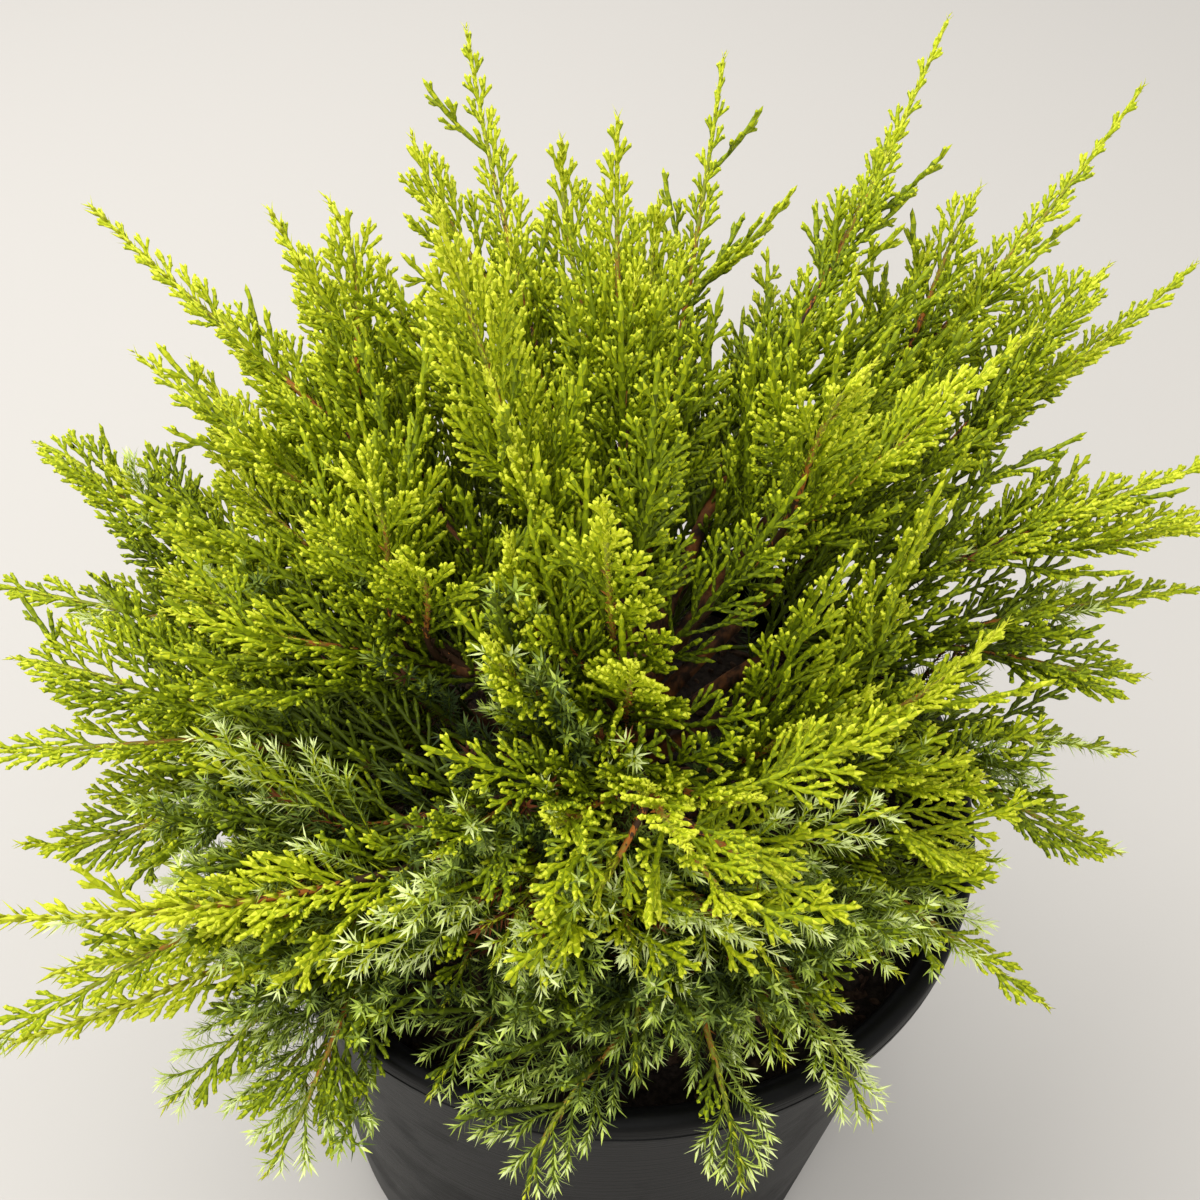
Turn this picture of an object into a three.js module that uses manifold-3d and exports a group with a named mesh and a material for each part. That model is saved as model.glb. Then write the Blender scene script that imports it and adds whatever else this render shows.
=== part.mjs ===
// A low spreading conifer with arching boughs, grown in a plain round nursery pot.
// Millimetres, +Z up, origin at the centre of the pot's flat underside. The front is -Y.

import * as THREE from 'three';
import { mergeVertices } from 'three/addons/utils/BufferGeometryUtils.js';
import Module from 'manifold-3d';

// Pot: a tapering wall under a stout turned-out lip, with drain holes round the base
const potHeight = 240;
const rimRadius = 140;
const footRadius = 114;
const neckRadius = 133;
const lipHeight = 14;
const lipRound = 3;
const wallThickness = 2.6;
const baseThickness = 3;
const potFacets = 36;
const drainHoles = 6;
const drainHoleRadius = 7;
const drainHoleFacets = 12;
const drainRingRadius = 88;

// Potting mix, a little below the rim and slightly heaped round the stem
const soilTop = 214;
const soilHeap = 6;
const clearance = 0.3;

// Trunk: short and flared, leaning slightly, hidden inside the crown
const trunkTop = 304;
const trunkRadius = 12.5;
const trunkTipRadius = 9;
const trunkFlare = 5;
const flareHeight = 9;
const flareLobes = 5;
const lobeDepth = 0.2;
const trunkLean = new THREE.Vector2(4, 3);
const trunkFacets = 10;
const trunkSteps = 7;
const trunkStepPower = 1.5;

// Boughs and stems: a bough runs up its leader's line to boughShare, and the stem of its mass goes on
const boughRootRadius = 3.3;
const boughTipRadius = 2.2;
const boughFacets = 5;
const boughSteps = 4;
const boughShare = 0.42;
const stemRootRadius = 2.5;
const forkRadius = 1.5;
const stemTipRadius = 0.9;
const stemFacets = 4;
const forkFacets = 3;
const stemSteps = 4;
const handleShare = 0.36;
const earliestFork = 0.3;
const forkGap = 0.06;
const lowestRoot = 8;
const highestRoot = 50;
const rootSpacing = 9.6;
const rootDepth = 0.8;

// One spray: a flat toothed blade. Its neck, bare point and teeth are shares of its length
const sprayThickness = 2.6;
const sprayCore = 1.5;
const sprayNeck = 0.1;
const sprayPoint = 0.16;
const toothPitch = 20;
const mostTeeth = 3;
const toothReach = 0.24;
const toothSweep = 1.15;
const toothTaper = 0.5;

// How sprays are set on both sides of a leader, in shares of it and in degrees
const spraysOnLeader = 5;
const firstSpray = { earliest: 0.16, gap: 0.05 };
const endSpray = { share: 0.3, overlap: 0.01 };
const sprayPlace = { start: 0.4, spread: 0.3 };
const sprayAngle = { middle: 42, spread: 12 };
const sprayLift = { middle: 18, spread: 56 };
const sprayLength = { least: 0.92, spread: 0.3 };
const sprayGrowth = { start: 0.62, rise: 1.3, fall: 0.72 };

// A spray that has no room is tried shorter, and is then left out
const shorterTries = [1, 0.78, 0.58];
const spareThickness = 0.7;
const middleShare = 0.6;
const leaderSamples = 12;

const firstSeed = 101;
const seedStep = 37;
const smoothing = 0.15;
const weldDistance = 1e-4;
const leastOverlap = 1e-6;

// Each mass of foliage: its leaders' tips by azimuth in degrees from +X, reach from the pot's axis
// and rise above the rim, how steeply its bough leaves the trunk and its leaders end, and how far
// its sprays stand out. Turns swing a bough's root or a leader's end aside, in degrees. A mass with
// no bough springs from the trunk itself.
const masses = [
  { name: 'back_left', tips: [[148, 250, 150], [137, 158, 176]], rootLift: 54, tipLift: 24, spread: 54 },
  { name: 'back_leader', tips: [[112, 206, 203], [124, 160, 190]], rootLift: 62, tipLift: 56, spread: 46 },
  { name: 'back_centre', tips: [[98, 118, 212]], rootLift: 68, tipLift: 70, spread: 50 },
  { name: 'back_right', tips: [[84, 198, 197]], rootLift: 60, tipLift: 56, spread: 50 },
  { name: 'right_inner', tips: [[64, 240, 210], [63, 200, 190]], rootLift: 54, tipLift: 46, spread: 52 },
  { name: 'right_leader', tips: [[49, 284, 190], [53, 200, 172]], rootLift: 50, tipLift: 42, spread: 54 },
  { name: 'right_shoulder', tips: [[37, 262, 148], [40, 224, 152]], rootLift: 46, tipLift: 32, spread: 52 },
  { name: 'right_high', tips: [[22, 250, 112], [18, 232, 94]], rootLift: 44, tipLift: 12, spread: 52 },
  { name: 'right_middle', tips: [[14, 222, 74], [7, 194, 56]], rootLift: 42, tipLift: 0, spread: 50 },
  { name: 'right_low', tips: [[1, 190, 36], [-7, 190, 10]], rootLift: 40, tipLift: -10, spread: 44 },
  {
    name: 'front_right_upper', tips: [[-2, 126, 108]],
    rootLift: 40, rootTurn: -44, tipLift: 44, tipTurn: 40, spread: 48,
  },
  { name: 'front_right_low', tips: [[-29, 177, 4]], rootLift: 42, tipLift: -14, spread: 44 },
  { name: 'front_right_skirt', tips: [[-55, 160, 2]], rootLift: 44, tipLift: -26, spread: 42 },
  { name: 'front_skirt', tips: [[-72, 163, 0], [-96, 164, 0]], rootLift: 44, tipLift: -36, spread: 40 },
  { name: 'left_skirt', tips: [[-134, 196, -8], [-122, 188, -10]], rootLift: 42, tipLift: -24, spread: 46 },
  { name: 'left_low', tips: [[-143, 236, 24]], rootLift: 42, tipLift: -6, spread: 46 },
  {
    name: 'left_leader', tips: [[-150, 228, 54]],
    rootLift: 42, rootTurn: 44, tipLift: 0, tipTurn: -30, spread: 42,
  },
  { name: 'left_fan', tips: [[-167, 232, 52], [-176, 214, 60]], rootLift: 44, tipLift: 8, spread: 54 },
  { name: 'left_far', tips: [[170, 262, 34], [160, 250, 72]], rootLift: 42, tipLift: 0, spread: 56 },
  { name: 'left_high', tips: [[155, 208, 118], [172, 140, 142]], rootLift: 56, tipLift: 30, spread: 54 },
  { name: 'left_inner', tips: [[-170, 152, 104], [-166, 94, 168]], rootLift: 56, tipLift: 30, spread: 52 },
  {
    name: 'crown_left', tips: [[-150, 52, 212], [170, 64, 238]],
    rootLift: 74, tipLift: 74, spread: 58, bough: false,
  },
  {
    name: 'crown_centre', tips: [[-99, 60, 198]],
    rootLift: 66, tipLift: 72, spread: 56, bough: false,
  },
  {
    name: 'crown_right', tips: [[20, 128, 190], [10, 68, 196]],
    rootLift: 64, tipLift: 50, spread: 56, bough: false,
  },
  {
    name: 'crown_front', tips: [[-88, 72, 148]],
    rootLift: 56, tipLift: 62, spread: 52, bough: false,
  },
  { name: 'front_near', tips: [[-82, 136, 150], [-72, 132, 104]], rootLift: 50, tipLift: 48, spread: 44 },
  {
    name: 'front_low', tips: [[-106, 118, 50], [-62, 118, 44]],
    rootLift: 52, tipLift: 0, spread: 42, bough: false,
  },
  { name: 'front_inner', tips: [[-118, 112, 84], [-148, 132, 44]], rootLift: 48, tipLift: 26, spread: 46 },
  { name: 'back_skirt_left', tips: [[132, 214, 56]], rootLift: 44, tipLift: 0, spread: 54 },
  { name: 'back_skirt', tips: [[102, 220, 50]], rootLift: 44, tipLift: 0, spread: 54 },
  { name: 'back_skirt_right', tips: [[74, 222, 54]], rootLift: 44, tipLift: 0, spread: 52 },
];

const finishes = {
  pot: { color: 0x17171a, roughness: 0.5, metalness: 0 },
  soil: { color: 0x2a1d15, roughness: 0.98, metalness: 0 },
  bark: { color: 0x6b4630, roughness: 0.9, metalness: 0 },
  foliage: { color: 0x7f9a2c, roughness: 0.8, metalness: 0 },
};

const wasm = await Module();
wasm.setup();

function radians(degrees) {
  return (degrees * Math.PI) / 180;
}

// The same numbers for the same seed, so that the plant always grows alike.
function seededNumbers(seed) {
  let state = seed;
  return () => {
    state = (state * 1664525 + 1013904223) % 4294967296;
    return state / 4294967296;
  };
}

function solidFrom(geometry) {
  const bare = new THREE.BufferGeometry();
  bare.setAttribute('position', geometry.getAttribute('position'));
  bare.setIndex(geometry.getIndex());
  const merged = mergeVertices(bare, weldDistance);
  return new wasm.Manifold(
    new wasm.Mesh({
      numProp: 3,
      vertProperties: new Float32Array(merged.getAttribute('position').array),
      triVerts: new Uint32Array(merged.getIndex().array),
    }),
  );
}

function geometryFrom(solid) {
  const mesh = solid.getMesh();
  const geometry = new THREE.BufferGeometry();
  geometry.setAttribute('position', new THREE.BufferAttribute(mesh.vertProperties, 3));
  geometry.setIndex(new THREE.BufferAttribute(mesh.triVerts, 1));
  return geometry;
}

// The largest single body of a solid. Loose scraps and sealed hollows are left out.
function wholeBody(solid) {
  const bodies = solid.decompose();
  return bodies.reduce((best, body) => (body.volume() > best.volume() ? body : best));
}

function touches(solidA, solidB) {
  const boxA = solidA.boundingBox();
  const boxB = solidB.boundingBox();
  const apart = [0, 1, 2].some((axis) => boxA.max[axis] < boxB.min[axis] || boxB.max[axis] < boxA.min[axis]);
  return !apart && solidA.intersect(solidB).volume() > leastOverlap;
}

// A lathe profile turned round +Z.
function turned(profile, facets) {
  const geometry = new THREE.LatheGeometry(
    profile.map(([radius, height]) => new THREE.Vector2(radius, height)),
    facets,
  );
  return geometry.rotateX(Math.PI / 2);
}

function wallRadiusAt(height) {
  return footRadius + ((neckRadius - footRadius) * height) / (potHeight - lipHeight);
}

function innerRadiusAt(height) {
  return wallRadiusAt(height) - wallThickness;
}

function makePot() {
  const lipBottom = potHeight - lipHeight;
  const shell = solidFrom(
    turned(
      [
        [0, 0],
        [footRadius - lipRound, 0],
        [footRadius, lipRound],
        [wallRadiusAt(lipBottom), lipBottom],
        [rimRadius - lipRound / 2, lipBottom],
        [rimRadius, lipBottom + lipRound / 2],
        [rimRadius, potHeight - lipRound],
        [rimRadius - lipRound, potHeight],
        [rimRadius - 2 * lipRound, potHeight],
        [innerRadiusAt(lipBottom), potHeight - lipRound],
        [innerRadiusAt(lipBottom), lipBottom],
        [innerRadiusAt(baseThickness), baseThickness],
        [0, baseThickness],
      ],
      potFacets,
    ),
  );
  const holes = Array.from({ length: drainHoles }, (_, index) => {
    const angle = (index * 2 * Math.PI) / drainHoles;
    const depth = 4 * baseThickness;
    const hole = new THREE.CylinderGeometry(drainHoleRadius, drainHoleRadius, depth, drainHoleFacets);
    hole.rotateX(Math.PI / 2);
    hole.translate(drainRingRadius * Math.cos(angle), drainRingRadius * Math.sin(angle), 0);
    return solidFrom(hole);
  });
  return holes.reduce((pot, hole) => pot.subtract(hole), shell);
}

function makeSoil() {
  return solidFrom(
    turned(
      [
        [0, baseThickness + clearance],
        [innerRadiusAt(baseThickness) - clearance, baseThickness + clearance],
        [innerRadiusAt(soilTop - soilHeap) - clearance, soilTop - soilHeap],
        [rimRadius / 2, soilTop - soilHeap / 3],
        [2 * trunkRadius, soilTop],
        [0, soilTop],
      ],
      potFacets,
    ),
  );
}

function trunkRadiusAt(height) {
  const share = (height - soilTop) / (trunkTop - soilTop);
  const flare = Math.exp((soilTop - height) / flareHeight);
  return THREE.MathUtils.lerp(trunkRadius, trunkTipRadius, share) + trunkFlare * flare;
}

function trunkCentreAt(height) {
  const share = (height - soilTop) / (trunkTop - soilTop);
  return new THREE.Vector3(trunkLean.x * share * share, trunkLean.y * share * share, height);
}

// The trunk's foot spreads into a few low lobes where the roots leave it. A swell makes the
// slightly larger trunk that the limbs' roots are cut by.
function makeTrunk(swell) {
  const foot = soilTop + clearance - swell;
  const heights = Array.from({ length: trunkSteps + 1 }, (_, step) => {
    const share = (step / trunkSteps) ** trunkStepPower;
    return THREE.MathUtils.lerp(foot, trunkTop + swell, share);
  });
  const wall = heights.map((height) => [trunkRadiusAt(height) + swell, height]);
  const profile = [[0, foot], ...wall, [0, trunkTop + swell]];
  const geometry = turned(profile, trunkFacets);
  const position = geometry.getAttribute('position');
  for (let index = 0; index < position.count; index += 1) {
    const height = position.getZ(index);
    const centre = trunkCentreAt(height);
    const angle = Math.atan2(position.getY(index), position.getX(index));
    const flare = Math.exp((soilTop - height) / flareHeight);
    const lobe = 1 + lobeDepth * flare * Math.cos(flareLobes * angle);
    position.setX(index, position.getX(index) * lobe + centre.x);
    position.setY(index, position.getY(index) * lobe + centre.y);
  }
  return solidFrom(geometry);
}

function outward(azimuth, lift) {
  const level = Math.cos(radians(lift));
  return new THREE.Vector3(
    level * Math.cos(radians(azimuth)),
    level * Math.sin(radians(azimuth)),
    Math.sin(radians(lift)),
  );
}

function tipOf([azimuth, reach, rise]) {
  const tip = outward(azimuth, 0).multiplyScalar(reach);
  return tip.setZ(potHeight + rise);
}

// A limb's line, leaving its root along one direction and reaching its tip along another.
function limbLine(root, rootDirection, tip, tipDirection) {
  const handle = handleShare * root.distanceTo(tip);
  return new THREE.CubicBezierCurve3(
    root,
    root.clone().addScaledVector(rootDirection, handle),
    tip.clone().addScaledVector(tipDirection, -handle),
    tip,
  );
}

// The side and the face direction of a flat plume at a place on its leader.
function frameAt(line, share) {
  const along = line.getTangent(share).normalize();
  const side = new THREE.Vector3().crossVectors(along, new THREE.Vector3(0, 0, 1)).normalize();
  const face = new THREE.Vector3().crossVectors(side, along);
  return { point: line.getPoint(share), along, side, face };
}

// A tapering round limb: a cylinder whose rings are carried along the line.
function limbGeometry(line, from, to, rootRadius, tipRadius, facets, steps) {
  const geometry = new THREE.CylinderGeometry(1, 1, 1, facets, steps);
  const position = geometry.getAttribute('position');
  for (let index = 0; index < position.count; index += 1) {
    const share = position.getY(index) + 0.5;
    const frame = frameAt(line, THREE.MathUtils.lerp(from, to, share));
    const radius = THREE.MathUtils.lerp(rootRadius, tipRadius, share);
    const place = frame.point
      .addScaledVector(frame.side, radius * position.getX(index))
      .addScaledVector(frame.face, radius * position.getZ(index));
    position.setXYZ(index, place.x, place.y, place.z);
  }
  return geometry;
}

// A flat spray lying along +X from the origin: a midrib of diamond section, thinning sideways to
// forward-pointing teeth, which are its side twigs.
function sprayGeometry(length, thickness) {
  const teeth = THREE.MathUtils.clamp(Math.round(length / toothPitch), 1, mostTeeth);
  const start = sprayNeck * length;
  const pitch = ((1 - sprayNeck - sprayPoint) * length) / teeth;
  const corners = [];
  const triangle = (...points) => points.forEach((point) => corners.push(...point));
  for (const hand of [1, -1]) {
    for (const turn of [1, -1]) {
      const rim = (x, y) => [x, hand * y, 0];
      const ridge = (x) => [x, 0, (turn * thickness) / 2];
      const faced = (a, b, c) => (hand * turn > 0 ? triangle(a, b, c) : triangle(a, c, b));
      const crestOf = (tooth) => (tooth < teeth ? ridge(start + (tooth + 0.5) * pitch) : [length, 0, 0]);
      faced([-sprayCore, 0, 0], crestOf(0), rim(start, sprayCore));
      for (let tooth = 0; tooth < teeth; tooth += 1) {
        const notch = rim(start + tooth * pitch, sprayCore);
        const nextNotch = rim(start + (tooth + 1) * pitch, sprayCore);
        const slimmer = 1 - toothTaper * (tooth / teeth);
        const point = rim(start + (tooth + toothSweep) * pitch, sprayCore + toothReach * length * slimmer);
        faced(crestOf(tooth), nextNotch, point);
        faced(crestOf(tooth), point, notch);
        faced(crestOf(tooth), crestOf(tooth + 1), nextNotch);
      }
    }
  }
  const geometry = new THREE.BufferGeometry();
  geometry.setAttribute('position', new THREE.Float32BufferAttribute(corners, 3));
  return mergeVertices(geometry, weldDistance);
}

// A spray set on its leader: its direction, and the face that its flat side turns to.
function placedSpray(root, direction, face, length, thickness) {
  const across = new THREE.Vector3().crossVectors(face, direction).normalize();
  const normal = new THREE.Vector3().crossVectors(direction, across);
  const basis = new THREE.Matrix4().makeBasis(direction, across, normal).setPosition(root);
  return sprayGeometry(length, thickness).applyMatrix4(basis);
}

// Sprays are longest a third of the way up a leader and short towards its tip.
function sprayShareAt(share) {
  return Math.min(1, sprayGrowth.start + sprayGrowth.rise * share) * (1 - sprayGrowth.fall * share);
}

function rootAzimuth(mass) {
  return mass.tips[0][0] + (mass.rootTurn ?? 0);
}

function rootPlace(mass, height) {
  return trunkCentreAt(height).addScaledVector(outward(rootAzimuth(mass), 0), trunkRadiusAt(height));
}

// The height at which each mass leaves the trunk: low masses near its foot and steep ones near
// its top, each at the first height where no neighbour's root is in its way.
function rootHeights() {
  const steepness = (mass) => mass.tips[0][2] / mass.tips[0][1];
  const order = [...masses].sort((a, b) => steepness(a) - steepness(b));
  const heights = new Map();
  order.forEach((mass, rank) => {
    let height = soilTop + THREE.MathUtils.lerp(lowestRoot, highestRoot, rank / (order.length - 1));
    const crowded = () => [...heights].some(([other, taken]) => (
      rootPlace(mass, height).distanceTo(rootPlace(other, taken)) < rootSpacing
    ));
    while (crowded()) {
      height += 1;
    }
    heights.set(mass, height);
  });
  return heights;
}

function limbLines() {
  const heights = rootHeights();
  return masses.map((mass) => {
    const height = heights.get(mass);
    const root = trunkCentreAt(height);
    root.addScaledVector(outward(rootAzimuth(mass), 0), rootDepth * trunkRadiusAt(height));
    const rootDirection = outward(rootAzimuth(mass), mass.rootLift);
    const tipDirection = (tip) => outward(tip[0] + (mass.tipTurn ?? 0), mass.tipLift);
    const main = limbLine(root, rootDirection, tipOf(mass.tips[0]), tipDirection(mass.tips[0]));
    const from = mass.bough === false ? 0 : boughShare;
    const lines = [{ line: main, from }];
    mass.tips.slice(1).forEach((tip) => {
      const forkShare = Math.max(from, earliestFork) + forkGap;
      const fork = frameAt(main, forkShare);
      const heading = tipOf(tip).sub(fork.point).normalize().add(fork.along).normalize();
      lines.push({ line: limbLine(fork.point, heading, tipOf(tip), tipDirection(tip)), from: 0 });
    });
    return { mass, from, lines };
  });
}

// Where the sprays of a leader begin, and where its last spray takes over from its stem.
function firstSprayShare(from) {
  return Math.max(from, firstSpray.earliest) + firstSpray.gap;
}

function endSprayShare(from) {
  return 1 - endSpray.share * (1 - firstSprayShare(from));
}

// A bare mass: its stem and any second leader, before the sprays are added.
function stemSolid({ from, lines }) {
  const [main, ...forks] = lines;
  const length = main.line.getLength();
  const start = from > 0 ? from + (2 * clearance) / length : 0;
  const rootRadius = from > 0 ? boughTipRadius : stemRootRadius;
  const stem = limbGeometry(
    main.line, start, endSprayShare(main.from), rootRadius, stemTipRadius, stemFacets, stemSteps,
  );
  return forks.reduce((solid, { line, from: forkFrom }) => {
    const end = endSprayShare(forkFrom);
    const branch = limbGeometry(line, 0, end, forkRadius, stemTipRadius, forkFacets, stemSteps);
    return solid.add(solidFrom(branch));
  }, solidFrom(stem));
}

// Points along the leaders of a mass. Its own space is what lies nearer to them than to any others.
function sampleLines(limb) {
  return limb.lines.flatMap(({ line, from }) =>
    Array.from({ length: leaderSamples + 1 }, (_, step) => (
      line.getPoint(THREE.MathUtils.lerp(from, 1, step / leaderSamples))
    )),
  );
}

function nearest(point, samples) {
  return Math.min(...samples.map((sample) => sample.distanceTo(point)));
}

// Every spray of a mass as a root, a direction, a face and a full length, in growing order.
function spraySites(limb, random) {
  const sites = [];
  limb.lines.forEach(({ line, from }, leader) => {
    const firstShare = firstSprayShare(from);
    for (let index = 0; index < spraysOnLeader; index += 1) {
      const growth = (index + sprayPlace.start + sprayPlace.spread * random()) / spraysOnLeader;
      const hand = (index + leader) % 2 === 0 ? 1 : -1;
      const frame = frameAt(line, THREE.MathUtils.lerp(firstShare, endSprayShare(from), growth));
      const angle = radians(sprayAngle.middle + sprayAngle.spread * (random() - 0.5));
      const lift = radians(sprayLift.middle + sprayLift.spread * (random() - 0.5));
      const sideways = frame.side.clone().multiplyScalar(hand * Math.cos(lift));
      sideways.addScaledVector(frame.face, Math.sin(lift));
      const direction = frame.along.clone().multiplyScalar(Math.cos(angle));
      direction.addScaledVector(sideways, Math.sin(angle)).normalize();
      const vigour = sprayLength.least + sprayLength.spread * random();
      const length = limb.mass.spread * sprayShareAt(growth) * vigour;
      sites.push({ leader, root: frame.point, direction, face: frame.face, length });
    }
    const end = frameAt(line, endSprayShare(from) - endSpray.overlap);
    const rest = line.getPoint(1).sub(end.point);
    const heading = rest.clone().normalize();
    sites.push({ leader, root: end.point, direction: heading, face: end.face, length: rest.length() });
  });
  return sites;
}

function keepsToItsSpace(site, length, own, others) {
  const tip = site.root.clone().addScaledVector(site.direction, length);
  const middle = site.root.clone().addScaledVector(site.direction, middleShare * length);
  return [tip, middle].every((point) => {
    const reach = nearest(point, own);
    return others.every((other) => nearest(point, other) > reach);
  });
}

// Adds the sprays that keep to the mass's own space and touch no limb, pot or other mass.
function leafyMass(limb, stem, samples, obstacles, seed) {
  const own = samples.get(limb);
  const others = [...samples].filter(([other]) => other !== limb).map(([, points]) => points);
  const sprays = [];
  spraySites(limb, seededNumbers(seed)).forEach((site) => {
    const fitting = shorterTries.map((scale) => scale * site.length).find((length) => {
      if (!keepsToItsSpace(site, length, own, others)) {
        return false;
      }
      const thickness = sprayThickness + spareThickness;
      const wide = solidFrom(placedSpray(site.root, site.direction, site.face, length, thickness));
      const crossed = sprays.filter(({ leader }) => leader !== site.leader).map(({ solid }) => solid);
      return ![...obstacles, ...crossed].some((obstacle) => touches(wide, obstacle));
    });
    if (fitting) {
      const geometry = placedSpray(site.root, site.direction, site.face, fitting, sprayThickness);
      sprays.push({ leader: site.leader, solid: solidFrom(geometry) });
    }
  });
  return wholeBody(sprays.reduce((mass, { solid }) => mass.add(solid), stem).simplify(smoothing));
}

function makePlant(fixed, rootCutter) {
  const limbs = limbLines();
  const samples = new Map(limbs.map((limb) => [limb, sampleLines(limb)]));
  const boughs = new Map();
  limbs.filter((limb) => limb.from > 0).forEach((limb) => {
    const length = limb.lines[0].line.getLength();
    const end = limb.from - clearance / length;
    const geometry = limbGeometry(
      limb.lines[0].line, 0, end, boughRootRadius, boughTipRadius, boughFacets, boughSteps,
    );
    boughs.set(limb, wholeBody(solidFrom(geometry).subtract(rootCutter)));
  });
  const stems = new Map(limbs.map((limb) => [limb, wholeBody(stemSolid(limb).subtract(rootCutter))]));
  const leafy = new Map();
  limbs.forEach((limb, index) => {
    const others = limbs.filter((other) => other !== limb);
    const neighbours = others.map((other) => leafy.get(other) ?? stems.get(other));
    const obstacles = [...fixed, ...boughs.values(), ...neighbours];
    const seed = firstSeed + seedStep * index;
    leafy.set(limb, leafyMass(limb, stems.get(limb), samples, obstacles, seed));
  });
  return { limbs, boughs, leafy };
}

function namedMesh(name, solid, finish) {
  const mesh = new THREE.Mesh(geometryFrom(solid), new THREE.MeshStandardMaterial(finishes[finish]));
  mesh.name = name;
  return mesh;
}

const pot = makePot();
const soil = makeSoil();
const trunk = makeTrunk(0);
const plant = makePlant([pot, soil, trunk], makeTrunk(clearance));

const conifer = new THREE.Group();
conifer.add(namedMesh('pot', pot, 'pot'));
conifer.add(namedMesh('soil', soil, 'soil'));
conifer.add(namedMesh('trunk', trunk, 'bark'));
plant.limbs.forEach((limb) => {
  if (plant.boughs.has(limb)) {
    conifer.add(namedMesh(`bough_${limb.mass.name}`, plant.boughs.get(limb), 'bark'));
  }
  conifer.add(namedMesh(`mass_${limb.mass.name}`, plant.leafy.get(limb), 'foliage'));
});

export default conifer;
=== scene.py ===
"""A low spreading conifer in a round nursery pot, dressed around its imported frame.

The crown grows here by the same rule as the frame's foliage masses, carried on to finer twigs:
leaders, plumes, side shoots, scale-leaved cords and short needles. Growth is worked out in
millimetres, and every mesh is written in metres. A tone runs from 0, a palette's darkest colour,
to 1, its lightest.
"""

import math

import bmesh
import bpy
import numpy as np
from mathutils import Matrix, Vector


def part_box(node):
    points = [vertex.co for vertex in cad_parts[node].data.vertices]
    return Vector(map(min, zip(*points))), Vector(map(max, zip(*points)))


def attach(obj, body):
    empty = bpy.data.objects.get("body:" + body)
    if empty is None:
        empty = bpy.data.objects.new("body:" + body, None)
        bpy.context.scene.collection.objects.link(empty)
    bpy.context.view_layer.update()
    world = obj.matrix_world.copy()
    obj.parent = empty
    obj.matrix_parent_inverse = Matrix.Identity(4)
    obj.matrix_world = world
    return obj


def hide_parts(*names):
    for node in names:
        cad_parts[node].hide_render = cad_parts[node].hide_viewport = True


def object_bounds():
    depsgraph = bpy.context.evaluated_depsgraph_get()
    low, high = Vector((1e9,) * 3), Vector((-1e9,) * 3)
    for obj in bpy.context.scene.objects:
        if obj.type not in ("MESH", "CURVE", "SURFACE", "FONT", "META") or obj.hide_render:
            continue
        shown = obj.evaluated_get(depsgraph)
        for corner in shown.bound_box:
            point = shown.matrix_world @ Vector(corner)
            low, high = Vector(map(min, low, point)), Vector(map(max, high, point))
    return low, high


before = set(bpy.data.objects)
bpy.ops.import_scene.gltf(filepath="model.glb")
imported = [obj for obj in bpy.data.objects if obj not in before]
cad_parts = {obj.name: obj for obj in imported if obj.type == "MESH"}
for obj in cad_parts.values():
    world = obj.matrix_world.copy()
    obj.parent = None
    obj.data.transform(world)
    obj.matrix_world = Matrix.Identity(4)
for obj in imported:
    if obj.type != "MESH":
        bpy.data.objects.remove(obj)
cad_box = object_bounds()

bl_info = {
    "name": "Potted spreading conifer",
    "version": (1, 0, 0),
    "blender": (4, 5, 0),
    "location": "View3D > Sidebar > Conifer",
    "description": "Builds a potted conifer from its trunk, boughs, plumes and needles",
    "category": "Add Mesh",
}

MM = 0.001
BODY = "root"
UP = np.array([0.0, 0.0, 1.0])
LEVEL = np.array([1.0, 1.0, 0.0])

RIM_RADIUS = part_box("pot")[1].x / MM
POT_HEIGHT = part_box("pot")[1].z / MM
SOIL_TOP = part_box("soil")[1].z / MM
TRUNK_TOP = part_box("trunk")[1].z / MM

# The pot and its mix
FOOT_RADIUS = 114.0
NECK_RADIUS = 133.0
POT_SIDES = 144
HOLE_COUNT = 6
HOLE_RING = 88.0
HOLE_RADIUS = 7.0
HOLE_SIDES = 40
HOLE_DEPTH = 24.0
MIX_RADIUS = 130.0
MIX_FOOT_RADIUS = 110.5
MIX_SIDES = 96
LARGEST_CHIP = 6.5
CHIP_SHAPES = ((0.25, 0.14, 0.08), (1.0, 0.55, 0.3))
CHIP_SLOPE = 0.8
CHIPS_WITHIN = 124.0
SHARP_EDGE = 50

# The trunk, as in the frame, with its rings and sides, and how its bark stands out
TRUNK_RADIUS = 12.5
TRUNK_TIP_RADIUS = 9.0
TRUNK_FLARE = 5.0
FLARE_HEIGHT = 9.0
FLARE_LOBES = 5
LOBE_DEPTH = 0.2
TRUNK_LEAN = (4.0, 3.0)
TRUNK_FOOT = 3.0
TRUNK_RINGS = (70, 40)
TRUNK_BARK = (0.94, 0.1)
TRUNK_BARK_PHASE = 0.4

# Boughs and leaders, as in the frame: a bough runs up its line to BOUGH_SHARE
BOUGH_ROOT_RADIUS = 3.3
BOUGH_TIP_RADIUS = 2.2
BOUGH_SHARE = 0.42
HANDLE_SHARE = 0.36
EARLIEST_FORK = 0.3
FORK_GAP = 0.06
LOWEST_ROOT = 8.0
HIGHEST_ROOT = 50.0
ROOT_SPACING = 9.6
ROOT_DEPTH = 0.8
BOUGH_RINGS = (46, 12)
BOUGH_BARK = (0.93, 0.16)
BOUGH_SEED = 5
LENGTH_POINTS = 60
UPRIGHT = 1e-3
BARK_PHASES = (0, 6)

# Side shoots, as in the frame
FIRST_SHOOT = 0.16
FIRST_GAP = 0.05
SHOOT_ANGLE = 42.0
TIP_ANGLE = 18.0
SHOOT_LIFT = 18.0
LIFT_SPREAD = 56.0
SHOOT_SHARE = 0.62
SHOOT_GAIN = 1.3
SHOOT_LOSS = 0.72
FIRST_SEED = 101
SEED_STEP = 37

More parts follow.
